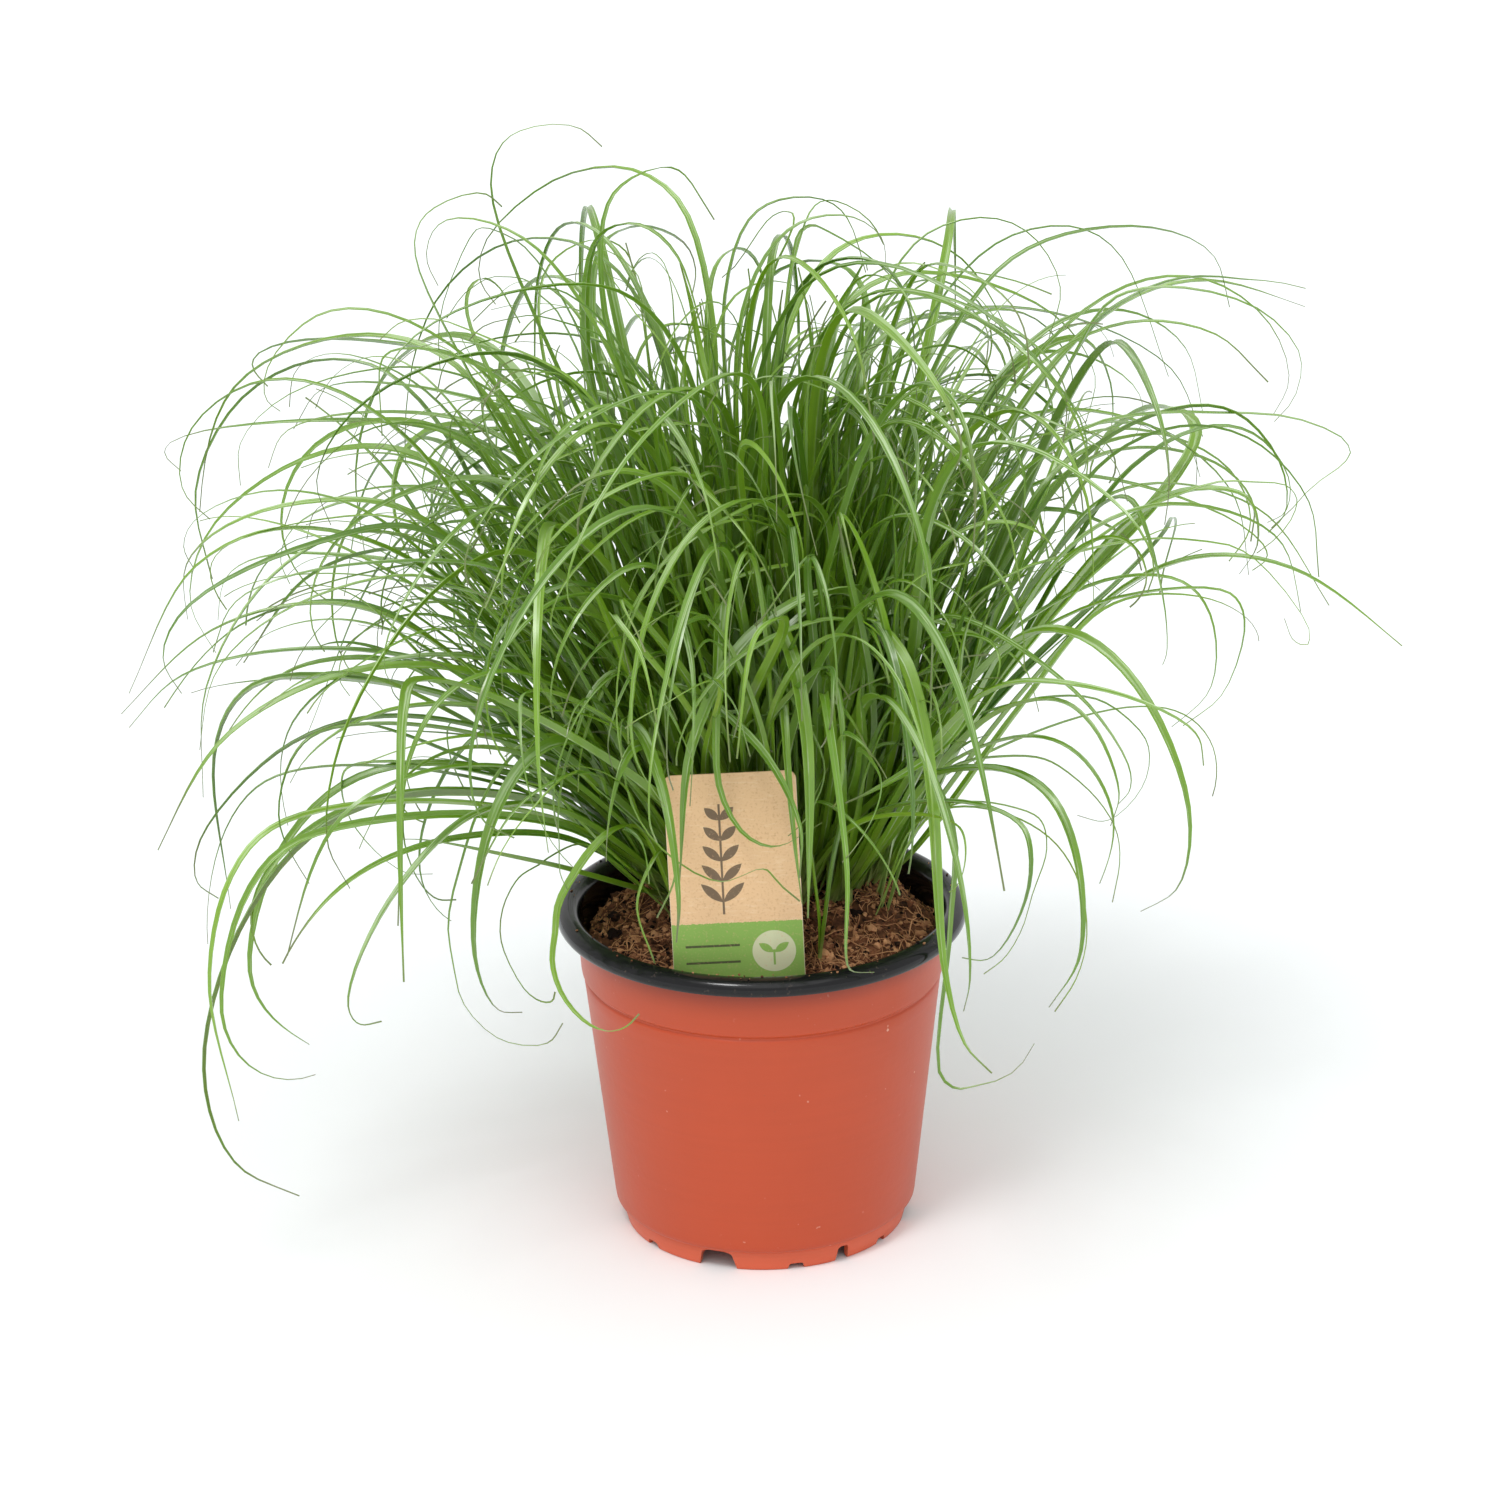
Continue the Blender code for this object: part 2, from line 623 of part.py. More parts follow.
def leaves_tuft(path):
    """Does a path leave the tuft's outline, seen from above or from the front?"""
    beside = np.abs(path[:, 0]) - TUFT_SKIRT
    sags = (beside > 0) & (path[:, 2] < TUFT_SKIRT_HEIGHT + TUFT_SKIRT_RISE * beside)
    reaches = np.abs(path[:, :2]).max(axis=0) > (TUFT_HALF_WIDTH, TUFT_HALF_DEPTH)
    return bool(sags.any() or reaches.any())


def covers_label(path):
    """Does a path hang in front of the label's face?"""
    near = np.abs(path[:, 0] - LABEL_PLACE[0]) < LABEL_WIDTH / 2 + LABEL_CLEARANCE / 2
    in_front = path[:, 1] < LABEL_PLACE[1]
    return bool((near & in_front & (path[:, 2] < LABEL_TOP + LABEL_CLEARANCE)).any())


def clears_pot(path):
    """Is a path above the soil and the rim inside the pot, outside the wall below the rim?"""
    steps = np.linspace(0, 1, 5)[:-1, None, None]
    fine = (path[:-1] * (1 - steps) + path[1:] * steps).reshape(-1, 3)
    radius = np.hypot(fine[:, 0], fine[:, 1])
    over_rim = radius < RIM_RADIUS + RIM_CLEARANCE
    low = fine[:, 2] < POT_HEIGHT + RIM_CLEARANCE_ABOVE
    from_root = np.linalg.norm(fine - path[0], axis=1)
    if (over_rim & low & (from_root > SHEATH_HEIGHT)).any():
        return False
    return fine[:, 2].min() > LOWEST_TIP


def blade_capsules(path, width):
    widths = widths_along(width, len(path) - 1)
    return path[:-1], path[1:], np.maximum(widths[:-1], widths[1:]) / 2


def end_of_joint(path):
    """The point up to which a shoot's blades are too close together to be told apart."""
    return path[0] + (path[1] - path[0]) * JOINED_SHARE


def own_capsules(path, width):
    """A blade as its own shoot's other blades keep clear of it: without its root."""
    starts, ends, radii = blade_capsules(path, width)
    return np.vstack([end_of_joint(path), starts[1:]]), ends, radii


def fits(path, width, others, own):
    """Does a path keep clear of the pot, of other shoots and of its own shoot's blades?"""
    if not clears_pot(path):
        return False
    if not others.free(*blade_capsules(path, width)):
        return False
    return not len(own.radii) or own.free(*own_capsules(path, width))


def give_standout_blades(shoots):
    """Each standout blade goes to a shoot that stands about where it would grow from."""
    for values in STANDOUT_BLADES:
        blade = Blade(*values)
        azimuth, reach, height = blade.arch
        edge = (HIGHEST_ARCH - height) / HEIGHT_PER_SHARE + reach / REACH_PER_SHARE
        edge = min(1, max(INNERMOST_STANDOUT, edge))

        def cost(shoot):
            turn = abs((shoot.azimuth - azimuth + 180) % 360 - 180)
            return turn / TURN_PER_COST + SHARE_COST * abs(shoot.share - edge)

        free = [shoot for shoot in shoots if len(shoot.standouts) < MOST_STANDOUTS]
        min(free, key=cost).standouts.append(blade)


def room_beside(shoot, shoots):
    """What a new blade of a shoot keeps clear of: the label and the other shoots."""
    taken = Clearance()
    taken.add(*label_strips())
    for other in shoots:
        if other is not shoot:
            taken.add(np.array([other.foot]), np.array([other.top]), np.array([SHEATH_FOOT_RADIUS]))
            for path, width in other.blades.values():
                taken.add(*blade_capsules(path, width))
    return taken


def grow_blade(shoot, shoots, draw, standout=None):
    """Tries paths until one is clear: ever further from the standout blade, or freshly drawn."""
    taken = room_beside(shoot, shoots)
    for attempt in range(TRIES):
        if standout:
            blade = standout.varied(draw, attempt / TRIES_PER_STEP)
        else:
            blade = shoot.drawn_blade(draw)
        slot = shoot.slot_for(blade.path(shoot.top, shoot.lean))
        path = blade.path(shoot.root(slot), shoot.lean)
        if not standout and (covers_label(path) or leaves_tuft(path)):
            continue
        if shoot.keeps_side(slot, path) and fits(path, blade.width, taken, shoot.room):
            shoot.blades[slot] = (path, blade.width)
            shoot.room.add(*own_capsules(path, blade.width))
            return


def crown_shoots(ground):
    """The shoots of the crown, evenly spread in a spiral from its middle to its edge."""
    shoots = []
    for number in range(SHOOTS):
        angle = number * GOLDEN_ANGLE
        share = math.sqrt((number + 0.5) / SHOOTS)
        across = share * CROWN_HALF_WIDTH * math.cos(angle)
        back = share * CROWN_HALF_DEPTH * math.sin(angle)
        slots = FEWEST_BLADES + (number + 1) % 2
        shoots.append(Shoot(number + 1, (across, back), share, slots, ground))
    return shoots


def lay_out_shoots(ground):
    """Places every blade, the standout ones first."""
    shoots = crown_shoots(ground)
    give_standout_blades(shoots)
    young = Shoot(SHOOTS + 1, YOUNG_SHOOT_PLACE, YOUNG_SHOOT_SHARE, FEWEST_BLADES, ground)
    young.standouts = [Blade(*values) for values in YOUNG_BLADES]
    every = [*shoots, young]
    draw = random.Random(SEED)
    for shoot in every:
        for standout in shoot.standouts:
            grow_blade(shoot, every, draw, standout)
    for shoot in shoots:
        for _ in range(shoot.slots - len(shoot.blades)):
            grow_blade(shoot, every, draw)
    return every


def blade_rings(path, width):
    """Three corners at each point of a path: the keel below, then the left and right edges."""
    widths = widths_along(width, len(path) - 1)
    points = [Vector(point) for point in path]
    flat = points[len(points) // 2] - points[0]
    across = Vector((-flat.y, flat.x, 0)).normalized()
    rings = []
    for index in range(1, len(points) - 1):
        onward = (points[index + 1] - points[index - 1]).normalized()
        across = (across - onward * across.dot(onward)).normalized()
        below = across.cross(onward).normalized()
        half = across * widths[index] / 2
        deep = below * widths[index] * BLADE_THICKNESS_SHARE
        keel = points[index] + deep * KEEL_SHARE
        face = points[index] - deep * (1 - KEEL_SHARE)
        rings.append((keel, face + half, face - half))
    return rings, points[-1]


def extrude_ring(bm, face, ring, targets):
    """Extrudes a three-cornered face and moves its corners, each matched to the one it came from."""
    face = bmesh.ops.extrude_discrete_faces(bm, faces=[face])["faces"][0]
    moved = []
    for old in ring:
        moved.append(min(face.verts, key=lambda vert: (vert.co - old.co).length_squared))
    for vert, target in zip(moved, targets):
        vert.co = target
    return face, moved


def least_twisted(corners, targets):
    """The corners of a wedge, started from the one that turns least to reach the first target."""
    middle = sum((vert.co for vert in corners), Vector()) / len(corners)
    aim = sum(targets, Vector()) / len(targets)
    turns = [corners[start:] + corners[:start] for start in range(len(corners))]

    def likeness(turn):
        return sum((vert.co - middle).dot(place - aim) for vert, place in zip(turn, targets))

    return max(turns, key=likeness)


def make_sheath(bm, shoot, ground):
    """The sheath, whose top is parted into a wedge for each blade around a shared corner."""
    bmesh.ops.create_cone(
        bm,
        cap_ends=True,
        segments=shoot.slots,
        radius1=SHEATH_FOOT_RADIUS,
        radius2=SHEATH_TOP_RADIUS,
        depth=1,
    )
    top_face = max(bm.faces, key=lambda face: face.calc_center_median().z)
    turn = Matrix.Rotation(math.radians(shoot.azimuth) - math.pi / shoot.slots, 3, "Z")
    for vert in bm.verts:
        flat = turn @ Vector((vert.co.y, -vert.co.x, 0))
        if vert.co.z > 0:
            vert.co = shoot.top + flat
        else:
            vert.co = shoot.foot + flat
            vert.co.z = ground_at(ground, vert.co)
    return bmesh.ops.poke(bm, faces=[top_face])["faces"]


def make_shoot(shoot, ground, finish):
    """A sheath with a blade drawn out of each wedge of its top, as one closed body."""
    bm = bmesh.new()
    wedges = make_sheath(bm, shoot, ground)
    for slot, (path, width) in sorted(shoot.blades.items()):
        place = shoot.root(slot)
        face = min(wedges, key=lambda wedge: (wedge.calc_center_median() - place).length)
        wedges.remove(face)
        rings, tip = blade_rings(path, width)
        ring = least_twisted(list(face.verts), rings[0])
        for targets in rings:
            face, ring = extrude_ring(bm, face, ring, targets)
        face, ring = extrude_ring(bm, face, ring, [vert.co for vert in ring])
        bmesh.ops.pointmerge(bm, verts=ring, merge_co=tip)
    bmesh.ops.triangulate(bm, faces=bm.faces, quad_method="SHORT_EDGE")
    return named_object(shoot.name, bm, finish)


def label_strips():
    """The card as a row of capsules, for the blades to keep clear of."""
    place = label_place()
    low = []
    high = []
    for index in range(LABEL_STRIPS):
        x = (index / (LABEL_STRIPS - 1) - 0.5) * LABEL_WIDTH
        low.append(place @ Vector((x, 0, LABEL_SHOULDER)))
        high.append(place @ Vector((x, 0, LABEL_TOP)))
    return np.array(low), np.array(high), np.full(LABEL_STRIPS, LABEL_STRIP_RADIUS)


def clear_scene():
    for obj in list(bpy.data.objects):
        bpy.data.objects.remove(obj, do_unlink=True)


def main():
    clear_scene()
    terracotta = material("terracotta plastic", (0.58, 0.11, 0.06), 0.42)
    peat = material("coir and peat", (0.09, 0.04, 0.02), 0.95)
    card = material("kraft card", (0.72, 0.52, 0.31), 0.7)
    leaf = material("sedge leaf", (0.13, 0.32, 0.05), 0.45)
    make_pot(terracotta)
    soil = make_soil(peat)
    make_card("plant_label", 0, card)
    ground_mesh = bmesh.new()
    ground_mesh.from_mesh(soil.data)
    ground = BVHTree.FromBMesh(ground_mesh)
    ground_mesh.free()
    cut(soil, make_card("label_slot", GAP, card))
    for shoot in lay_out_shoots(ground):
        make_shoot(shoot, ground, leaf)


main()
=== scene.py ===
"""Looks of a potted umbrella sedge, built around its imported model.

The model's solids give every place and size. The pot, the soil and the card label are modelled
anew at full detail where the solids stand. Each shoot gets fine keeled blades that follow those of
its solid, slimmer ones between them, and the blades that are given point by point and grow nearest
to it. Metres, +Z up, -Y the front.
"""

import math
import random

import bmesh
import bpy
import numpy as np
from bpy.props import FloatProperty, FloatVectorProperty, IntProperty, PointerProperty
from mathutils import Matrix, Vector, noise
from mathutils.bvhtree import BVHTree


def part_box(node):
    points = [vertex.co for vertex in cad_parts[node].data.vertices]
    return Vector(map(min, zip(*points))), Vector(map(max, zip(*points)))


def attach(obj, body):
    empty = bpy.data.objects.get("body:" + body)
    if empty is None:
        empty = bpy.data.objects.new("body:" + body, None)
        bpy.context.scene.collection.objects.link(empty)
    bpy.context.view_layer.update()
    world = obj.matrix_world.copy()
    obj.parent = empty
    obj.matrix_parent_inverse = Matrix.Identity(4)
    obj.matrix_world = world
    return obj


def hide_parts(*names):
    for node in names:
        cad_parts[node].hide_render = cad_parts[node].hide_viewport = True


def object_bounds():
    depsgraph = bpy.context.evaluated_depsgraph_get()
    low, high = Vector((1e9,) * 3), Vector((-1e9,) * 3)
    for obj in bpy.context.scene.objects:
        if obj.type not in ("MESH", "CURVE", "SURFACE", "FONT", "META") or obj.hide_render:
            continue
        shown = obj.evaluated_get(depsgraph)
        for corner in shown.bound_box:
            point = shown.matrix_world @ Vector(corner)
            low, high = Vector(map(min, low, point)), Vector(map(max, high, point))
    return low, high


bl_info = {
    "name": "Potted umbrella sedge",
    "version": (1, 0, 0),
    "blender": (4, 5, 0),
    "location": "3D View > Sidebar > Potted sedge",
    "description": "Pot, soil, card label and leaf blades of a potted umbrella sedge",
    "category": "Object",
}

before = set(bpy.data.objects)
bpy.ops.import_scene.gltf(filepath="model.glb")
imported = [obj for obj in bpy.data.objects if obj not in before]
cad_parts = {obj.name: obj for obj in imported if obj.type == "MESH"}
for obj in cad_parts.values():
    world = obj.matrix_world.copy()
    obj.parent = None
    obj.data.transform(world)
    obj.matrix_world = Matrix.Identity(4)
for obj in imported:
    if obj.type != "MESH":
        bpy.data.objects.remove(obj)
cad_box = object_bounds()

MM = 0.001
BODY = "root"
POT_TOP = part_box("pot")[1][2]

# The pot's wall, in millimetres: radius and height, from the foot's inside, over the lip, to the
# floor.
POT_PROFILE = (
    (40.2, 3.2), (39.8, 0.5), (40.1, 0.1), (40.6, 0), (41.1, 0), (41.5, 0.3), (41.7, 1.0),
    (42.9, 5.8), (42.8, 6.2), (43.0, 6.5), (44.0, 6.9), (44.5, 7.5), (44.7, 8.6), (52.0, 74.4),
    (52.4, 77.6), (52.2, 78.1), (51.9, 78.5), (51.9, 79.0), (52.3, 79.4), (53.0, 80.0),
    (53.2, 81.4), (54.0, 92.8), (54.3, 94.0), (54.9, 94.6), (56.0, 94.9), (58.4, 94.9),
    (59.3, 95.2), (59.8, 95.9), (60.0, 96.9), (59.8, 98.0), (59.2, 98.9), (58.4, 99.5),
    (57.4, 99.9), (56.4, 100), (55.2, 99.8), (54.2, 99.2), (53.4, 98.2), (52.8, 96.8),
    (52.3, 94.0), (43.1, 8.4), (42.6, 6.4), (41.4, 4.8), (39.8, 4.4),
)
LIP_UNDERSIDE = 94.75 * MM
FLOOR_TOP = 4.5 * MM
GROOVE_HEIGHT = 6.4 * MM
GROOVE_TOP = 7.4 * MM
# Heights over which painted shade darkens the wall towards the lip's underside.
UNDER_LIP_SHADE_HEIGHTS = (84 * MM, 93.6 * MM)
FOOT_RADIUS = 41.5 * MM
# Notches in the foot ring: azimuth and width in degrees, depth in millimetres.
FOOT_NOTCHES = (
    (-110, 16, 6.0), (-78, 7, 2.0), (-58, 6, 5.0), (-36, 6, 2.0), (-7, 14, 6.0), (25, 7, 2.0),
    (58, 6, 5.0), (92, 16, 6.0), (128, 7, 2.0), (156, 6, 5.0), (186, 14, 4.0), (217, 7, 2.0),
)
NOTCH_TOP_SHARE = 0.66
NOTCH_WIDENING = 1.12
NOTCH_CUTTER_DEPTH = 9 * MM
DRAIN_HOLES = 6
DRAIN_RING = 27 * MM
DRAIN_RADIUS = 4 * MM
DRAIN_CUTTER_DEPTH = 6 * MM
DRAIN_CUTTER_HEIGHT = 4 * MM

# The soil's side, in millimetres: radius and height, from its underside to its edge.
SOIL_PROFILE = ((39.6, 4.9), (42.2, 8.6), (51.5, 90.4))
SOIL_RINGS = 44
SOIL_STEPS = 168
SOIL_EDGE = 90 * MM
SOIL_LOWEST = 88 * MM
SOIL_SUNK = 0.7 * MM
LUMP_SIZE = 9 * MM
LUMP_HEIGHT = 2.6 * MM
GRAIN_SIZE = 3.4 * MM
GRAIN_HEIGHT = 1.3 * MM
HEAP_PLACE = (34 * MM, -4 * MM)
HEAP_WIDTH = 12 * MM
HEAP_HEIGHT = 4.5 * MM
# Crumbs are drawn in a square of this half side, and kept within the radius.
CRUMB_SQUARE = 51 * MM
CRUMB_RADIUS = 51.2 * MM
CRUMB_SIZES = (0.35 * MM, 1.5 * MM)
CLOD_SIZES = (1.1 * MM, 2.9 * MM)
FIBRE_STEPS = 6
FIBRE_LENGTHS = (3 * MM, 15 * MM)
FIBRE_RADII = (0.09 * MM, 0.24 * MM)
FIBRE_START = 49 * MM
FIBRE_REACH = 50.5 * MM
SPILT_CRUMBS = 60
SPILT_SIZES = (0.2 * MM, 0.75 * MM)
SPILT_REACH = (54.6 * MM, 57.6 * MM)
# Azimuths in degrees that the spilt crumbs lie about.
SPILT_AT = (-98, -84, -104, -60, -32, -140, 20, 160)

LABEL_LEAN = math.radians(4)
LABEL_TURN = math.radians(2)
LABEL_PLACE = Vector((-6.4, -41.8, 91)) * MM
LABEL_SHOULDER = 84 * MM
LABEL_TOP = 155 * MM
LABEL_POINT = 50 * MM
STAKE_HALF_WIDTH = 7 * MM
STAKE_TAPER = 10 * MM
CARD_EDGE = 0.12 * MM
# The print on the card, in millimetres: across from its middle, and up from its shoulder.
BAND_TOP = 27.2
BAND_HEM = 1.6
DISC_PLACE = (10.2, 17.4)
DISC_RADIUS = 6.2
RULES_UP = (14.6, 19.6)
RULES_ACROSS = (-15.0, 0.5)
RULE_HALF_WIDTH = 0.35
SPROUT_LEAVES = ((8.0, math.pi - 0.6), (12.4, 0.6))
SPROUT_LEAVES_UP = 18.4
SPROUT_LEAF_SIZE = (5.0, 2.2)
STALK_UP = (13.2, 17.8)
STALK_HALF_WIDTH = 0.3
STEM_ACROSS = -3.5
STEM_UP = (29.0, 62.0)
STEM_HALF_WIDTH = 0.32
LEAF_ROWS = 5
LEAF_TILT = 0.75
FIRST_ROW_UP = 35.5
ROW_SPACING = 5.9
# The lowest leaves' length, and the distance from the stem to their middles; and what each row
# above has less.
LEAF_LENGTH = (8.4, 0.7)
LEAF_ASIDE = (3.1, 0.25)
LEAF_WIDTH = 2.6

# A solid blade's tip stands at least this far off its first ring of three corners. A walk along
# its rings has reached the sheath once it has more rings than this and a last step this short.
TIP_LENGTH = 5 * MM
SHEATH_RINGS = 7
SHEATH_STEP = 13.2 * MM
UPWARD = np.array((0.0, 0.0, 1.0))
BLADE_STEPS = 38
LINE_STEPS = 96
CURVE_STEPS = 24
HAIR_WIDTH = 0.5 * MM
ROOT_WIDTH_SHARE = 0.62
GROWN_SHARE = 0.22
TURNING_WEIGHT = 22 * MM
OWN_WIDTH_SHARE = 0.95
# How far a blade may stray from its line: one that is given or is a solid's, and a companion's.
# Sway, bow and the curls to draw from are in degrees, the scatter of roll and twist in radians.
OWN_HABIT = {"sway": 5, "bow": 0, "curls": (0, 10, 20, 35), "roll": 0.18, "twist": 0.4}
FREE_HABIT = {"sway": 22, "bow": 9, "curls": (0, 15, 40, 80, 150), "roll": 0.35, "twist": 0.9}
SLIM_WIDTHS = (1.1 * MM, 3.9 * MM)
FULL_TONE_WIDTH = 2.1 * MM
UPRIGHT_SHARE = 0.4
HIGHEST_COMPANIONS = (268 * MM, 316 * MM)
# Where blades stay clear of the pot and of the label.
LIP_RADII = (50.5 * MM, 61.4 * MM)
LIP_TOP = POT_TOP + 1.5 * MM
INSIDE_LOWEST = 93 * MM
ROOT_LENGTH = 20 * MM
FLOOR_CLEARANCE = 8 * MM
CARD_HALF_WIDTH = 21 * MM
CARD_TOP = LABEL_TOP + 6 * MM
MOUTH_HALF_WIDTH = 58 * MM
MOUTH_FRONT = -24 * MM
MOUTH_TOP = 128 * MM
BOX_MARGIN = 1 * MM
OWN_TRIES = 12
COMPANION_TRIES = 30
# Seen from the front, few blades pass below these lines beside the pot: points of distance from
# the axis and height in millimetres, and the share of such blades that stay away.
OPEN_RIGHT = ((62, 72, 95, 115, 150), (134, 188, 220, 236, 248), 0.95)
OPEN_LEFT = ((57, 80, 104, 118), (125, 154, 179, 181), 0.65)
# Seen from above the front, a thing looks this much higher for each length that it lies back.
FRONT_SLOPE = 0.4
# The shoot that grows alone beside the label.
YOUNG_SHOOT = "shoot_57"
# Each sun's turn about X and about Y, and its apparent width, in degrees.
KEY_SUN = ((30, 1), 60)
SHEEN_SUN = ((26, -16), 14)
CAMERA_TARGET = Vector((-1, 0, 145.1)) * MM

# Blades that hang around the label. Each: width in millimetres, taper (large for a blunt end),
# and points from the crown to the tip in millimetres.
FRONT_BLADES = (
    (2.6, 6, ((6, 0, 96), (7, -14, 150), (7, -36, 176), (7.6, -45.5, 162), (9.4, -45.5, 137),
     (11.4, -45.5, 118))),
    (4.2, 2.4, ((-8, 0, 96), (-9, -12, 170), (-10, -34, 205), (-12, -46, 174), (-11.2, -46, 153),
     (-4.4, -46, 139.4), (4, -46, 135.6), (17.3, -44, 142))),
    (3.0, 1.3, ((-12, -3, 96), (-9, -14, 165), (-6, -32, 196), (9.8, -44, 178.5),
     (18.2, -44, 158), (12.5, -44, 142.9), (7.7, -44, 138.1))),
    (1.1, 1.6, ((-20, -2, 96), (-32, -18, 160), (-38.8, -44, 172), (-36, -47, 149.4),
     (-27, -47, 135), (-11.7, -47, 125.6), (0.8, -47, 129.4), (5.3, -47, 124.4),
     (10.8, -46.5, 119.1))),
    (1.2, 1.4, ((-17, -4, 96), (-24, -22, 150), (-27, -44, 156), (-24.3, -46, 141),
     (-24.6, -46, 126), (-29.7, -46, 114.4))),
    (2.2, 1.4, ((-22, -5, 96), (-26, -24, 126), (-30.8, -42, 130), (-35.3, -44, 117.6),
     (-30.6, -45, 99.9))),
    (4.0, 5, ((26, 6, 96), (44, -14, 150), (60, -34, 173), (50.6, -42, 163.3), (30.9, -42, 150.3),
     (23.9, -42, 147))),
)
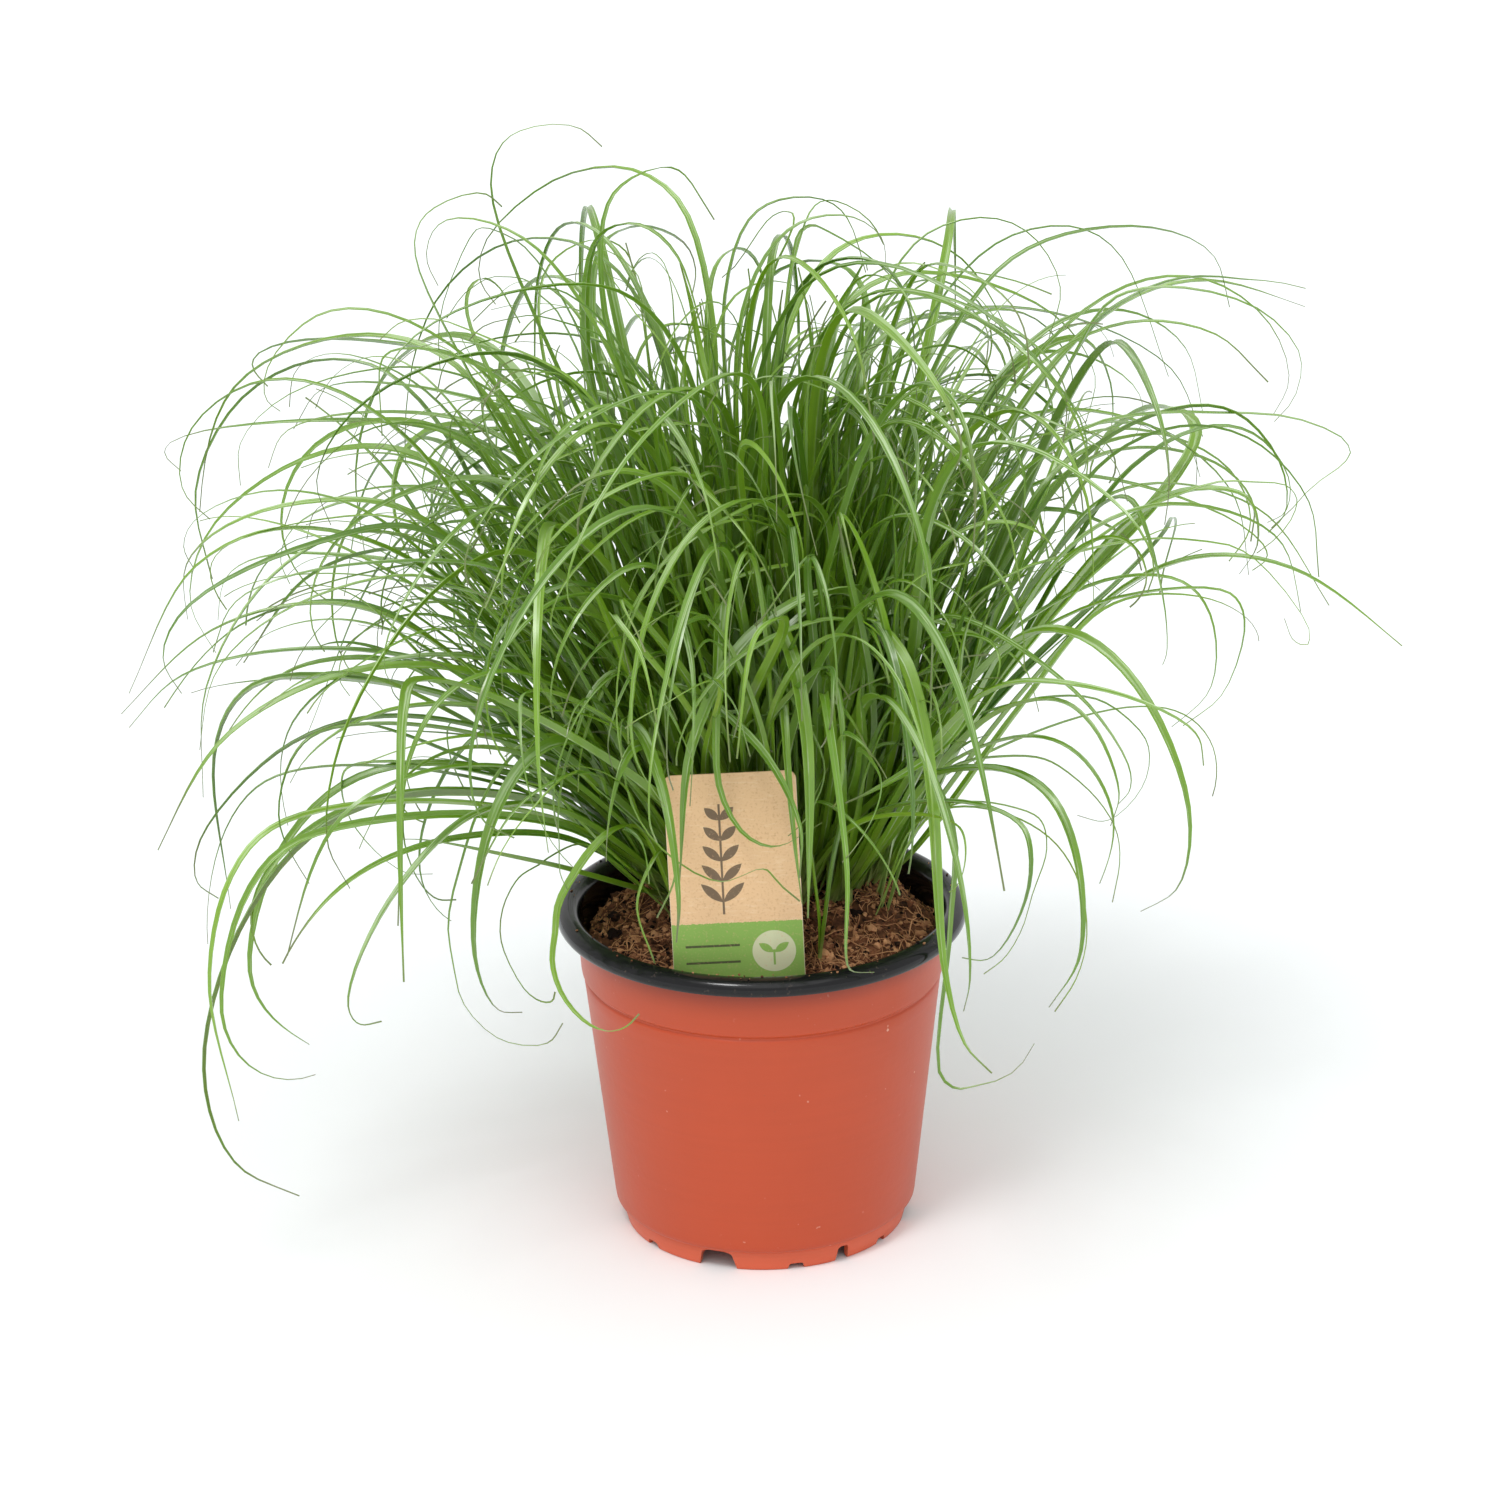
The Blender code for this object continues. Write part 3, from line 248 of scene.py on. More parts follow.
# Blades that stand up out of the crown, arch out to a side or hang beside the pot, given alike.
OUTER_BLADES = (
    (2.1, 6, ((8, 12, 96), (-5.6, 16, 244), (-4.6, 19, 254), (-3.6, 23, 262), (-2.1, 25, 269),
     (-0.8, 25, 278.5), (-1.3, 25, 284))),
    (2.9, 2.2, ((12, 20, 96), (-2.7, 23, 246), (0.7, 26, 263), (3.1, 28, 273), (6.4, 31, 283),
     (9.9, 34, 289.4), (12, 37, 294), (11.8, 39, 296), (9.5, 40, 296.5), (5.7, 40, 295),
     (0.2, 40, 288), (-4.4, 40, 281), (-8.8, 40, 277))),
    (3.7, 2.4, ((16, 14, 96), (5, 16, 248), (7.8, 18, 265), (9.3, 20, 273), (10.6, 22, 282),
     (12.9, 24, 290.3), (15, 26, 296.7), (16.8, 28, 300), (19.1, 30, 301.8), (22.2, 30, 302.3),
     (28.1, 30, 300.2), (33.5, 30, 296), (36, 30, 292), (37.4, 30, 289))),
    (2.2, 2.6, ((14, 24, 96), (6.8, 28, 244), (8.7, 32, 261), (11.3, 36, 281.7),
     (13.7, 40, 290.3), (17.2, 44, 291), (20.7, 48, 288.6), (32.2, 50, 281), (40.8, 50, 273),
     (44.9, 50, 266), (45.4, 50, 251), (47.7, 50, 236))),
    (3.1, 9, ((22, 16, 96), (14.6, 23, 233), (20.9, 30, 254), (22.9, 37, 261), (26.5, 44, 269),
     (29.7, 45, 275), (32.3, 45, 280), (33, 45.5, 277))),
    (1.9, 6, ((25, 22, 96), (24.6, 33, 242), (29.8, 43, 251), (35.7, 54, 257.5), (41.1, 60, 264),
     (46.4, 60, 271), (50.2, 60, 275))),
    (3.7, 9, ((24, 2, 96), (27, 10, 237), (30.1, 17, 252), (30.3, 25, 259), (30.9, 25, 267),
     (31.2, 25, 274.5))),
    (3.5, 9, ((10, 6, 96), (4.4, 8, 250), (6.9, 9, 268), (7.4, 10, 276), (8.3, 10, 282))),
    (2.6, 5, ((18, 8, 96), (16.6, 10, 246), (16.7, 13, 259), (16, 15, 268), (14.4, 15, 279.5),
     (12.8, 15, 287))),
    (3.3, 7, ((-8, 18, 96), (-8.8, 23, 240), (-11, 27, 244), (-14.4, 32, 252), (-16, 35, 260),
     (-17.8, 35, 271), (-20.7, 35, 283))),
    (1.6, 3, ((-10, 26, 96), (-18.7, 30, 231.5), (-21.5, 34, 242), (-22.5, 38, 251),
     (-22.9, 42, 262), (-23.6, 46, 273), (-25.8, 50, 279), (-28.9, 50, 282), (-32.1, 50, 280.6),
     (-34.5, 50, 277), (-36.7, 50, 270.5))),
    (1.4, 2.5, ((-14, 22, 96), (-25, 26, 233), (-29.3, 30, 250), (-30.9, 33, 264),
     (-31.3, 37, 270), (-32.7, 41, 277), (-36.4, 45, 280.6), (-40.3, 45, 283.4),
     (-44.1, 45, 284.5), (-46.1, 45, 281.4), (-46.6, 45, 273.6))),
    (1.9, 2.5, ((-16, 14, 96), (-15.7, 17, 239), (-22.2, 20, 257), (-28.9, 23, 266.5),
     (-33.4, 26, 270.5), (-37.9, 29, 277), (-42.3, 30, 282.7), (-47.1, 30, 286.3),
     (-49.7, 30, 284.3), (-50.7, 30, 278))),
    (3.6, 2.0, ((30, 8, 96), (58, 8, 202), (75, 7, 230), (81, 7, 244), (86, 6, 254), (92, 6, 266),
     (97, 6, 275), (102, 5, 280), (108, 5, 282), (116, 4, 283), (125, 4, 282), (133, 4, 280),
     (142, 4, 276), (150, 4, 269), (154, 4, 262), (154, 4, 255), (152, 4, 249), (147, 4, 243))),
    (2.6, 5, ((28, 14, 96), (60, 14, 205), (77, 14, 232), (88, 14, 255), (98, 14, 271),
     (108, 14, 278), (118, 14, 282), (128, 14, 283), (138, 14, 282), (148, 14, 281),
     (156, 14, 279))),
    (2.7, 2.4, ((34, 2, 96), (55, 1, 210), (65, 1, 222), (75, 0, 230), (86, -1, 239),
     (97, -1, 245), (114, -2, 248), (131, -3, 248), (148, -3, 247), (159, -4, 244),
     (166, -4, 240), (168, -4, 236), (165, -4, 232), (157, -4, 226), (153, -4, 221),
     (146, -4, 214))),
    (2.9, 2.4, ((36, -6, 96), (58, -7, 170), (75, -8, 191), (86, -9, 205), (97, -10, 214),
     (108, -11, 222), (119, -12, 227), (130, -13, 231), (141, -14, 231), (149, -14, 230),
     (152, -14, 226), (151, -14, 221), (147, -14, 215), (141, -14, 210))),
    (2.2, 2.2, ((34, -2, 96), (55, -3, 187), (75, -3, 202), (86, -4, 206), (100, -5, 210),
     (114, -6, 212), (126, -6, 211), (134, -7, 210), (140, -8, 207), (147, -8, 200),
     (153, -8, 192), (157, -8, 185), (157, -8, 180), (153, -8, 181), (150, -8, 188))),
    (1.9, 2.4, ((-20, 10, 96), (-33, 12, 231), (-47, 15, 264), (-51, 17, 272), (-55, 20, 279),
     (-59, 22, 285), (-64, 24, 291), (-69, 27, 294), (-73, 29, 295), (-77, 30, 296),
     (-80, 30, 293), (-84, 30, 285), (-88, 30, 275), (-90, 30, 266), (-90, 30, 254))),
    (3.0, 2.4, ((-18, 4, 96), (-33, 6, 222), (-43, 8, 245), (-50, 11, 265), (-53, 13, 271),
     (-56, 15, 276), (-61, 17, 280), (-64, 20, 283), (-69, 20, 284), (-74, 20, 284),
     (-78, 20, 282), (-82, 20, 279), (-87, 20, 272))),
    (3.4, 2.4, ((-14, 0, 96), (-18, 2, 235), (-33, 3, 261), (-38, 5, 268), (-43, 7, 275),
     (-49, 8, 280), (-55, 10, 283), (-62, 10, 283), (-70, 10, 282), (-75, 10, 278),
     (-79, 10, 274))),
    (2.6, 3, ((-18, -4, 96), (-27, -2, 245), (-39, -1, 268), (-43, 1, 272), (-49, 3, 274),
     (-56, 4, 276), (-62, 5, 277), (-69, 5, 276), (-76, 5, 274), (-80, 5, 270))),
    (3.2, 2.4, ((-20, -6, 96), (-27, -5, 234), (-42, -4, 250), (-51, -3, 258), (-58, -2, 263),
     (-66, -1, 266), (-73, 0, 269), (-81, 0, 271), (-88, 0, 271), (-95, 0, 269), (-100, 0, 265))),
    (2.8, 2.2, ((-22, -10, 96), (-27, -10, 227), (-40, -10, 248), (-49, -10, 261),
     (-57, -10, 267), (-65, -10, 271), (-76, -10, 276), (-85, -10, 280), (-91, -10, 281),
     (-98, -10, 280), (-104, -10, 275))),
    (2.9, 2.2, ((-22, -12, 96), (-34, -20, 131), (-42, -28, 134), (-48, -32, 130),
     (-54, -34, 122), (-58, -35, 114), (-59, -36, 106), (-60, -38, 98), (-58, -42, 91),
     (-54, -46, 86), (-49, -50, 83), (-44, -54, 83), (-39, -58, 86), (-35, -60, 91))),
    (1.5, 2.2, ((-24, -6, 96), (-51, -14, 124), (-59, -18, 123), (-64, -22, 121), (-69, -25, 119),
     (-73, -26, 113), (-75, -26, 106), (-75, -26, 99), (-72, -26, 90), (-68, -26, 83),
     (-64, -26, 80), (-61, -26, 80), (-60, -26, 83))),
    (2.7, 2.0, ((-22, -8, 96), (-29, -16, 172), (-40, -24, 181), (-47, -30, 177), (-51, -34, 167),
     (-55, -36, 156), (-57, -38, 144), (-57, -38, 134), (-57, -38, 125), (-55, -38, 120))),
    (1.6, 2.2, ((-26, -6, 96), (-51, -14, 155), (-65, -20, 158), (-74, -24, 151), (-81, -26, 138),
     (-86, -28, 123), (-89, -28, 112), (-90, -28, 104), (-89, -28, 94), (-87, -28, 82),
     (-82, -28, 74), (-76, -28, 69), (-68, -28, 67), (-62, -28, 68), (-58, -28, 74))),
    (4.0, 2.6, ((26, -4, 96), (26, -12, 197), (32, -20, 198), (37, -26, 190), (41, -30, 172),
     (47, -34, 155), (53, -36, 141), (55, -36, 130), (54, -36, 114), (53, -36, 98), (51, -36, 80),
     (50, -36, 66), (51, -36, 59), (55, -36, 55), (62, -36, 56), (69, -36, 58), (74, -36, 62),
     (78, -36, 69))),
    (2.0, 2.2, ((32, 0, 96), (42, -2, 127), (49, -4, 137), (57, -6, 144), (69, -8, 147),
     (82, -8, 146), (92, -8, 139), (99, -8, 131), (103, -8, 123), (104, -8, 114),
     (102, -8, 101))),
    (1.6, 2.2, ((34, -6, 96), (43, -8, 124), (51, -12, 132), (61, -14, 134), (74, -16, 131),
     (83, -16, 125), (89, -16, 117), (93, -16, 106), (94, -16, 92), (91, -16, 80),
     (85, -16, 70))),
    (1.4, 2.4, ((34, 6, 96), (49, 4, 146), (61, 2, 155), (73, 0, 160), (85, -2, 163),
     (97, -2, 162), (106, -2, 156), (112, -2, 148), (112, -2, 138), (107, -2, 129),
     (100, -2, 124), (92, -2, 126))),
    (1.3, 2.4, ((32, -10, 96), (45, -12, 126), (52, -16, 134), (60, -20, 138), (72, -22, 137),
     (80, -22, 133), (82, -22, 124), (78, -22, 110), (75, -22, 99), (70, -22, 90),
     (64, -22, 85))),
)


def operator(operation, reflected=False):
    """A method of Value that adds a Math node for one of Python's operators."""

    def method(self, other):
        values = (other, self) if reflected else (self, other)
        return self.maths(operation, *values)

    return method


class Value:
    """An output socket of a material's nodes that takes part in Python expressions."""

    def __init__(self, finish, socket):
        self.finish = finish
        self.socket = socket

    def maths(self, operation, *values):
        """A Math node on values, numbers or sockets."""
        sockets = dict(enumerate(values))
        return self.finish.node("ShaderNodeMath", {"operation": operation}, sockets)

    __add__ = __radd__ = operator("ADD")
    __sub__ = operator("SUBTRACT")
    __rsub__ = operator("SUBTRACT", reflected=True)
    __mul__ = __rmul__ = operator("MULTIPLY")
    __truediv__ = operator("DIVIDE")
    __pow__ = operator("POWER")
    __gt__ = operator("GREATER_THAN")
    __lt__ = operator("LESS_THAN")
    largest = operator("MAXIMUM")

    def __abs__(self):
        return self.maths("ABSOLUTE", self)

    def ramp(self, low, high):
        """0 below low, 1 above high and a smooth step between; low may be the larger."""
        settings = {"interpolation_type": "SMOOTHSTEP"}
        return self.finish.node("ShaderNodeMapRange", settings, {0: self, 1: low, 2: high})


class Finish:
    """A material whose look is written as expressions on its nodes' sockets."""

    def __init__(self, name, roughness, even=None):
        self.material = bpy.data.materials.new(name)
        self.material.use_nodes = True
        self.tree = self.material.node_tree
        self.shader = self.tree.nodes["Principled BSDF"]
        self.plug(self.shader.inputs["Roughness"], roughness)
        for socket, value in (even or {}).items():
            self.plug(self.shader.inputs[socket], value)
        self.place = self.node("ShaderNodeTexCoord", output="Object")

    def plug(self, socket, value):
        """Links a value to a socket, or sets the socket's own number or colour."""
        if isinstance(value, Value):
            self.tree.links.new(value.socket, socket)
        elif hasattr(value, "__len__") and len(value) == 3 and socket.type == "RGBA":
            socket.default_value = (*value, 1)
        else:
            socket.default_value = value

    def node(self, kind, settings=None, sockets=None, output=0):
        """Adds a node: its settings first, then the values or links of its sockets."""
        made = self.tree.nodes.new(kind)
        for name, value in (settings or {}).items():
            if name == "stops":
                self.set_stops(made.color_ramp, value)
            else:
                setattr(made, name, value)
        for name, value in (sockets or {}).items():
            self.plug(made.inputs[name], value)
        return Value(self, made.outputs[output])

    def set_stops(self, ramp, stops):
        """Gives a colour ramp its positions and colours."""
        for position, _ in stops[2:]:
            ramp.elements.new(position)
        for element, (position, colour) in zip(ramp.elements, stops):
            element.position = position
            element.color = (*colour, 1)

    def mix(self, first, second, share):
        """A colour a share of the way from the first to the second."""
        sockets = {0: share, 6: first, 7: second}
        return self.node("ShaderNodeMix", {"data_type": "RGBA"}, sockets, output=2)

    def ramp_colour(self, value, stops):
        """The colour of a ramp at a value."""
        return self.node("ShaderNodeValToRGB", {"stops": stops}, {"Fac": value})

    def parts(self, vector):
        """The x, y and z of a vector, or a map's u and v."""
        made = self.node("ShaderNodeSeparateXYZ", sockets={0: vector}).socket.node
        return [Value(self, socket) for socket in made.outputs]

    def vector(self, x, y, z):
        """A vector of three values or numbers."""
        return self.node("ShaderNodeCombineXYZ", sockets={0: x, 1: y, 2: z})

    def scaled(self, vector, factors):
        """A vector multiplied part by part."""
        sockets = {0: vector, 1: factors}
        return self.node("ShaderNodeVectorMath", {"operation": "MULTIPLY"}, sockets)

    def mottle(self, scale, detail=3.0, vector=None, roughness=0.55):
        """Noise from 0 to 1, on the piece's own coordinates or on a vector."""
        sockets = {"Vector": vector or self.place, "Scale": scale, "Detail": detail}
        return self.node("ShaderNodeTexNoise", sockets={**sockets, "Roughness": roughness})

    def attribute(self, name):
        """A number that each point of the piece carries."""
        return self.node("ShaderNodeAttribute", {"attribute_name": name}, output="Fac")

    def colour(self, value):
        """Feeds a colour to the surface."""
        self.plug(self.shader.inputs["Base Color"], value)

    def relief(self, height, depth):
        """Feeds a height of 0 to 1 to the normal, as relief of a depth in metres."""
        sockets = {"Height": height, "Distance": depth, "Strength": 1.0}
        self.plug(self.shader.inputs["Normal"], self.node("ShaderNodeBump", sockets=sockets))


def added(primitive, name, **values):
    """Adds a primitive as the only selected object, under a name."""
    if bpy.context.object and bpy.context.object.mode != "OBJECT":
        bpy.ops.object.mode_set(mode="OBJECT")
    bpy.ops.object.select_all(action="DESELECT")
    primitive(**values)
    piece = bpy.context.object
    piece.name = name
    piece.data.name = name
    return piece


def pick(piece, kind, test):
    """In edit mode, selects just the faces, edges or vertices that pass a test."""
    bpy.ops.mesh.select_mode(type=kind)
    bpy.ops.mesh.select_all(action="DESELECT")
    edited = bmesh.from_edit_mesh(piece.data)
    for element in {"VERT": edited.verts, "EDGE": edited.edges, "FACE": edited.faces}[kind]:
        if test(element):
            element.select_set(True)
    edited.select_flush_mode()
    bmesh.update_edit_mesh(piece.data)


def begin_edit(piece):
    """Enters edit mode on a piece."""
    bpy.context.view_layer.objects.active = piece
    bpy.ops.object.mode_set(mode="EDIT")


def end_edit():
    """Turns every face outwards and leaves edit mode."""
    bpy.ops.mesh.select_all(action="SELECT")
    bpy.ops.mesh.normals_make_consistent(inside=False)
    bpy.ops.object.mode_set(mode="OBJECT")


def apply_modifier(piece, kind, **settings):
    """Adds a modifier with its settings and applies it."""
    modifier = piece.modifiers.new(kind.title(), kind)
    for name, value in settings.items():
        setattr(modifier, name, value)
    bpy.context.view_layer.objects.active = piece
    bpy.ops.object.modifier_apply(modifier=modifier.name)


def select_only(*pieces):
    """Selects just these pieces, the first one active."""
    bpy.ops.object.select_all(action="DESELECT")
    for piece in pieces:
        piece.select_set(True)
    bpy.context.view_layer.objects.active = pieces[0]


def settle(piece, smooth=None):
    """Applies the piece's place, turn and size, and shades it smooth up to an angle in degrees."""
    select_only(piece)
    bpy.ops.object.transform_apply(location=True, rotation=True, scale=True)
    if smooth:
        bpy.ops.object.shade_smooth_by_angle(angle=math.radians(smooth))


def stand_for(piece, node):
    """The piece rides on the body and, where a CAD node is named, stands for it, which is hidden.
    """
    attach(piece, BODY)
    if node:
        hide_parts(node)


def cut_away(piece, cutter):
    """Cuts a closed cutter out of a piece and removes the cutter."""
    apply_modifier(piece, "BOOLEAN", operation="DIFFERENCE", solver="EXACT", object=cutter)
    bpy.data.objects.remove(cutter, do_unlink=True)


def copied(piece, place, turn, size):
    """A copy of a piece with its own mesh, placed, turned about Z and sized."""
    twin = piece.copy()
    twin.data = piece.data.copy()
    twin.location = place
    twin.rotation_euler = (0, 0, turn)
    twin.scale = size
    bpy.context.scene.collection.objects.link(twin)
    return twin


def joined(pieces):
    """The pieces as one."""
    select_only(*pieces)
    bpy.ops.object.join()
    return bpy.context.object


def arrays_of(piece):
    """The points and faces of a piece, which is removed."""
    places = np.array([vertex.co for vertex in piece.data.vertices])
    faces = np.array([face.vertices[:] for face in piece.data.polygons])
    bpy.data.objects.remove(piece, do_unlink=True)
    return places, faces


def unit(vectors):
    """Each vector at a length of 1."""
    return vectors / np.linalg.norm(vectors, axis=1)[:, None]


def gathered(parts):
    """Parts, each an array of points and one of faces, as one array of each."""
    starts = np.cumsum([0] + [len(places) for places, _ in parts[:-1]])
    faces = [corners + start for (_, corners), start in zip(parts, starts)]
    return np.concatenate([places for places, _ in parts]), np.concatenate(faces)


def drawn_share(draw, middle, scatter):
    """A share from 0 to 1, drawn about a middle."""
    return min(1, max(0, draw.gauss(middle, scatter)))


def mesh_from(name, places, faces):
    """A new piece from arrays of points and faces."""
    mesh = bpy.data.meshes.new(name)
    mesh.from_pydata(places.tolist(), [], faces.tolist())
    mesh.validate()
    piece = bpy.data.objects.new(name, mesh)
    bpy.context.scene.collection.objects.link(piece)
    return piece


def give_values(piece, name, values):
    """Stores a number for each point of a piece, for its material."""
    attribute = piece.data.attributes.new(name, "FLOAT", "POINT")
    attribute.data.foreach_set("value", np.asarray(values, dtype=np.float32))


def give_map(piece, name, pairs):
    """Stores a place on a map for each point of a piece."""
    layer = piece.data.uv_layers.new(name=name)
    corners = np.empty(len(piece.data.loops), dtype=np.int32)
    piece.data.loops.foreach_get("vertex_index", corners)
    layer.data.foreach_set("uv", np.asarray(pairs, dtype=np.float32)[corners].ravel())


def colour_setting(name, description, default):
    """A colour that the user can change."""
    return FloatVectorProperty(
        name=name, description=description, default=default, subtype="COLOR", min=0, max=1
    )


def length_setting(name, description, default, least=0):
    """A length that the user can change."""
    return FloatProperty(
        name=name, description=description, default=default, unit="LENGTH", min=least
    )


def share_setting(name, description, default, least=0):
    """A share up to 1 that the user can change."""
    return FloatProperty(
        name=name, description=description, default=default, subtype="FACTOR", min=least, max=1
    )


def strength_setting(name, description, default):
    """A light's strength that the user can change."""
    return FloatProperty(name=name, description=description, default=default, min=0)


def angle_setting(name, description, degrees):
    """An angle that the user can change."""
    default = math.radians(degrees)
    return FloatProperty(name=name, description=description, default=default, subtype="ANGLE")


def count_setting(name, description, default, least, most):
    """A whole number that the user can change."""
    return IntProperty(name=name, description=description, default=default, min=least, max=most)


class PotSettings(bpy.types.PropertyGroup):
    """Sizes and colours of the pot."""

    steps: count_setting("Steps", "Facets around the pot's wall", 144, 36, 360)
    wall_colour: colour_setting(
        "Wall colour", "Colour of the outer layer of plastic", (0.51, 0.062, 0.0135)
    )
    foot_colour: colour_setting(
        "Foot colour", "Colour of the thinner plastic under the lower groove", (0.66, 0.112, 0.044)
    )
    lip_colour: colour_setting(
        "Lip colour", "Colour of the lip and of the pot's inside", (0.007, 0.007, 0.008)
    )
    lip_dust_colour: colour_setting(
        "Lip dust colour", "Colour of the dust on the lip", (0.16, 0.12, 0.09)
    )
    dust_colour: colour_setting(
        "Dust colour", "Colour of the pale specks on the wall", (0.85, 0.55, 0.42)
    )
    dirt_colour: colour_setting(
        "Dirt colour", "Colour of the dark specks on the wall", (0.16, 0.07, 0.04)
    )
    # Painted shade: the wall darkens towards this colour under the lip.
    under_lip_shade_colour: colour_setting(
        "Under-lip shade colour", "Colour of the wall under the lip", (0.17, 0.016, 0.006)
    )
    roughness: share_setting("Roughness", "Roughness of the wall's satin plastic", 0.4)


def wall_finish(settings):
    """Satin terracotta plastic with faint moulding lines, dust, a paler foot and painted shade
    under the lip.
    """
    finish = Finish("terracotta plastic", settings.roughness)
    _, _, height = finish.parts(finish.place)
    lines = finish.mottle(1.0, 2.0, finish.scaled(finish.place, (9, 9, 700)))
    clouds = finish.mottle(28.0, 3.0)
    pebbles = finish.mottle(420.0, 2.0)
    dust = finish.mottle(520.0, 1.0).ramp(0.74, 0.8) * finish.mottle(60.0, 2.0).ramp(0.5, 0.65)
    dirt = finish.mottle(900.0, 2.0).ramp(0.72, 0.8) * 0.4
    # Painted shade under the lip, deepening towards it.
    under_lip_shade = height.ramp(*UNDER_LIP_SHADE_HEIGHTS) ** 2.0
    above_groove = height.ramp(GROOVE_HEIGHT, GROOVE_TOP)
    paint = finish.mix(settings.foot_colour, settings.wall_colour, above_groove)
    dull = [part * 0.8 for part in settings.wall_colour]
    paint = finish.mix(paint, dull, lines.ramp(0.35, 0.7) * 0.09 + clouds.ramp(0.4, 0.75) * 0.16)
    paint = finish.mix(paint, settings.dust_colour, dust * 0.6)
    paint = finish.mix(paint, settings.dirt_colour, dirt * 0.5)
    finish.colour(finish.mix(paint, settings.under_lip_shade_colour, under_lip_shade * 0.6))
    finish.relief(lines * 0.35 + pebbles * 0.65, 0.07 * MM)
    return finish.material


def lip_finish(settings):
    """Glossy black plastic with a little dust."""
    finish = Finish("black plastic", 0.14, {"Specular IOR Level": 0.32})
    dust = finish.mottle(700.0, 2.0).ramp(0.62, 0.78) * finish.mottle(70.0, 2.0).ramp(0.45, 0.62)
    finish.colour(finish.mix(settings.lip_colour, settings.lip_dust_colour, dust * 0.55))
    finish.relief(finish.mottle(160.0, 3.0), 0.05 * MM)
    return finish.material


def begin_turned(name, steps, profile):
    """A disc drawn through a profile's radii and heights, in edit mode, its last face selected."""
    radius, height = profile[0]
    piece = added(
        bpy.ops.mesh.primitive_circle_add,
        name,
        vertices=steps,
        radius=radius * MM,
        fill_type="NGON",
        location=(0, 0, height * MM),
    )
    begin_edit(piece)
    pick(piece, "FACE", lambda face: True)
    for next_radius, next_height in profile[1:]:
        rise = {"value": (0, 0, (next_height - height) * MM)}
        bpy.ops.mesh.extrude_region_move(TRANSFORM_OT_translate=rise)
        share = next_radius / radius
        bpy.ops.transform.resize(value=(share, share, 1), center_override=(0, 0, 0))
        radius, height = next_radius, next_height
    return piece


def notch_cutters():
    """A slant-sided block with rounded shoulders, copied to each notch of the foot ring."""
    block = added(bpy.ops.mesh.primitive_cube_add, "notch", size=1, location=(0, 0, 0.5))
    begin_edit(block)
    pick(block, "FACE", lambda face: face.normal.z > 0.9)
    bpy.ops.transform.resize(value=(1, NOTCH_TOP_SHARE, 1))
    pick(block, "EDGE", lambda edge: all(end.co.z > 0.4 for end in edge.verts) and same(edge, 1))
    bpy.ops.mesh.bevel(offset=0.2, segments=4, affect="EDGES")
    pick(block, "FACE", lambda face: face.normal.z < -0.9)
    bpy.ops.transform.translate(value=(0, 0, -0.5))
    end_edit()
    settle(block)
    blocks = []
    for azimuth, width, depth in FOOT_NOTCHES:
        turn = math.radians(azimuth)
        place = Vector((math.cos(turn), math.sin(turn), 0)) * FOOT_RADIUS
        wide = FOOT_RADIUS * math.radians(width) * NOTCH_WIDENING
        blocks.append(copied(block, place, turn, (NOTCH_CUTTER_DEPTH, wide, depth * MM)))
    bpy.data.objects.remove(block, do_unlink=True)
    return joined(blocks)


def same(edge, axis):
    """Do both ends of an edge lie at the same place along an axis?"""
    first, second = edge.verts
    return abs(first.co[axis] - second.co[axis]) < 1e-6


def drain_cutters():
    """A rod for each drain hole of the floor."""
    rod = added(
        bpy.ops.mesh.primitive_cylinder_add,
        "drain",
        vertices=32,
        radius=DRAIN_RADIUS,
        depth=DRAIN_CUTTER_DEPTH,
    )
    rods = []
    for index in range(DRAIN_HOLES):
        turn = index * math.tau / DRAIN_HOLES
        place = (DRAIN_RING * math.cos(turn), DRAIN_RING * math.sin(turn), DRAIN_CUTTER_HEIGHT)
        rods.append(copied(rod, place, turn, (1, 1, 1)))
    bpy.data.objects.remove(rod, do_unlink=True)
    return joined(rods)


class SEDGE_OT_pot(bpy.types.Operator):
    """Models the pot at full detail where its solid stands"""

    bl_idname = "sedge.pot"
    bl_label = "Make pot"

    def execute(self, context):
        settings = context.scene.sedge_pot
        pot = begin_turned("grower_pot", settings.steps, POT_PROFILE)
        end_edit()
        settle(pot)
        cut_away(pot, notch_cutters())
        cut_away(pot, drain_cutters())
        pot.data.materials.append(wall_finish(settings))
        pot.data.materials.append(lip_finish(settings))
        for face in pot.data.polygons:
            centre = face.center
            inward = centre.x * face.normal.x + centre.y * face.normal.y < -0.01 * MM
            inside = inward and centre.z > FLOOR_TOP
            face.material_index = int(inside or centre.z > LIP_UNDERSIDE)
        settle(pot, smooth=32)
        stand_for(pot, "pot")
        return {"FINISHED"}


class SoilSettings(bpy.types.PropertyGroup):
    """Colours and crumbs of the soil."""

    # The darkest soil, also standing in as painted shade in the gaps between crumbs.
    dark_and_shade_colour: colour_setting(
        "Dark colour", "Colour of the soil in its hollows", (0.012, 0.005, 0.003)
    )
    middle_colour: colour_setting(
        "Middle colour", "Colour of most of the crumbs", (0.25, 0.1, 0.045)
    )
    light_colour: colour_setting(
        "Light colour", "Colour of the dry fibres and crumbs", (0.7, 0.36, 0.18)
    )
    crumbs: count_setting("Crumbs", "Number of small crumbs on the soil", 4600, 0, 6000)
    clods: count_setting("Clods", "Number of larger lumps on the soil", 380, 0, 1000)
    fibres: count_setting("Fibres", "Number of coir fibres on the soil", 800, 0, 3000)


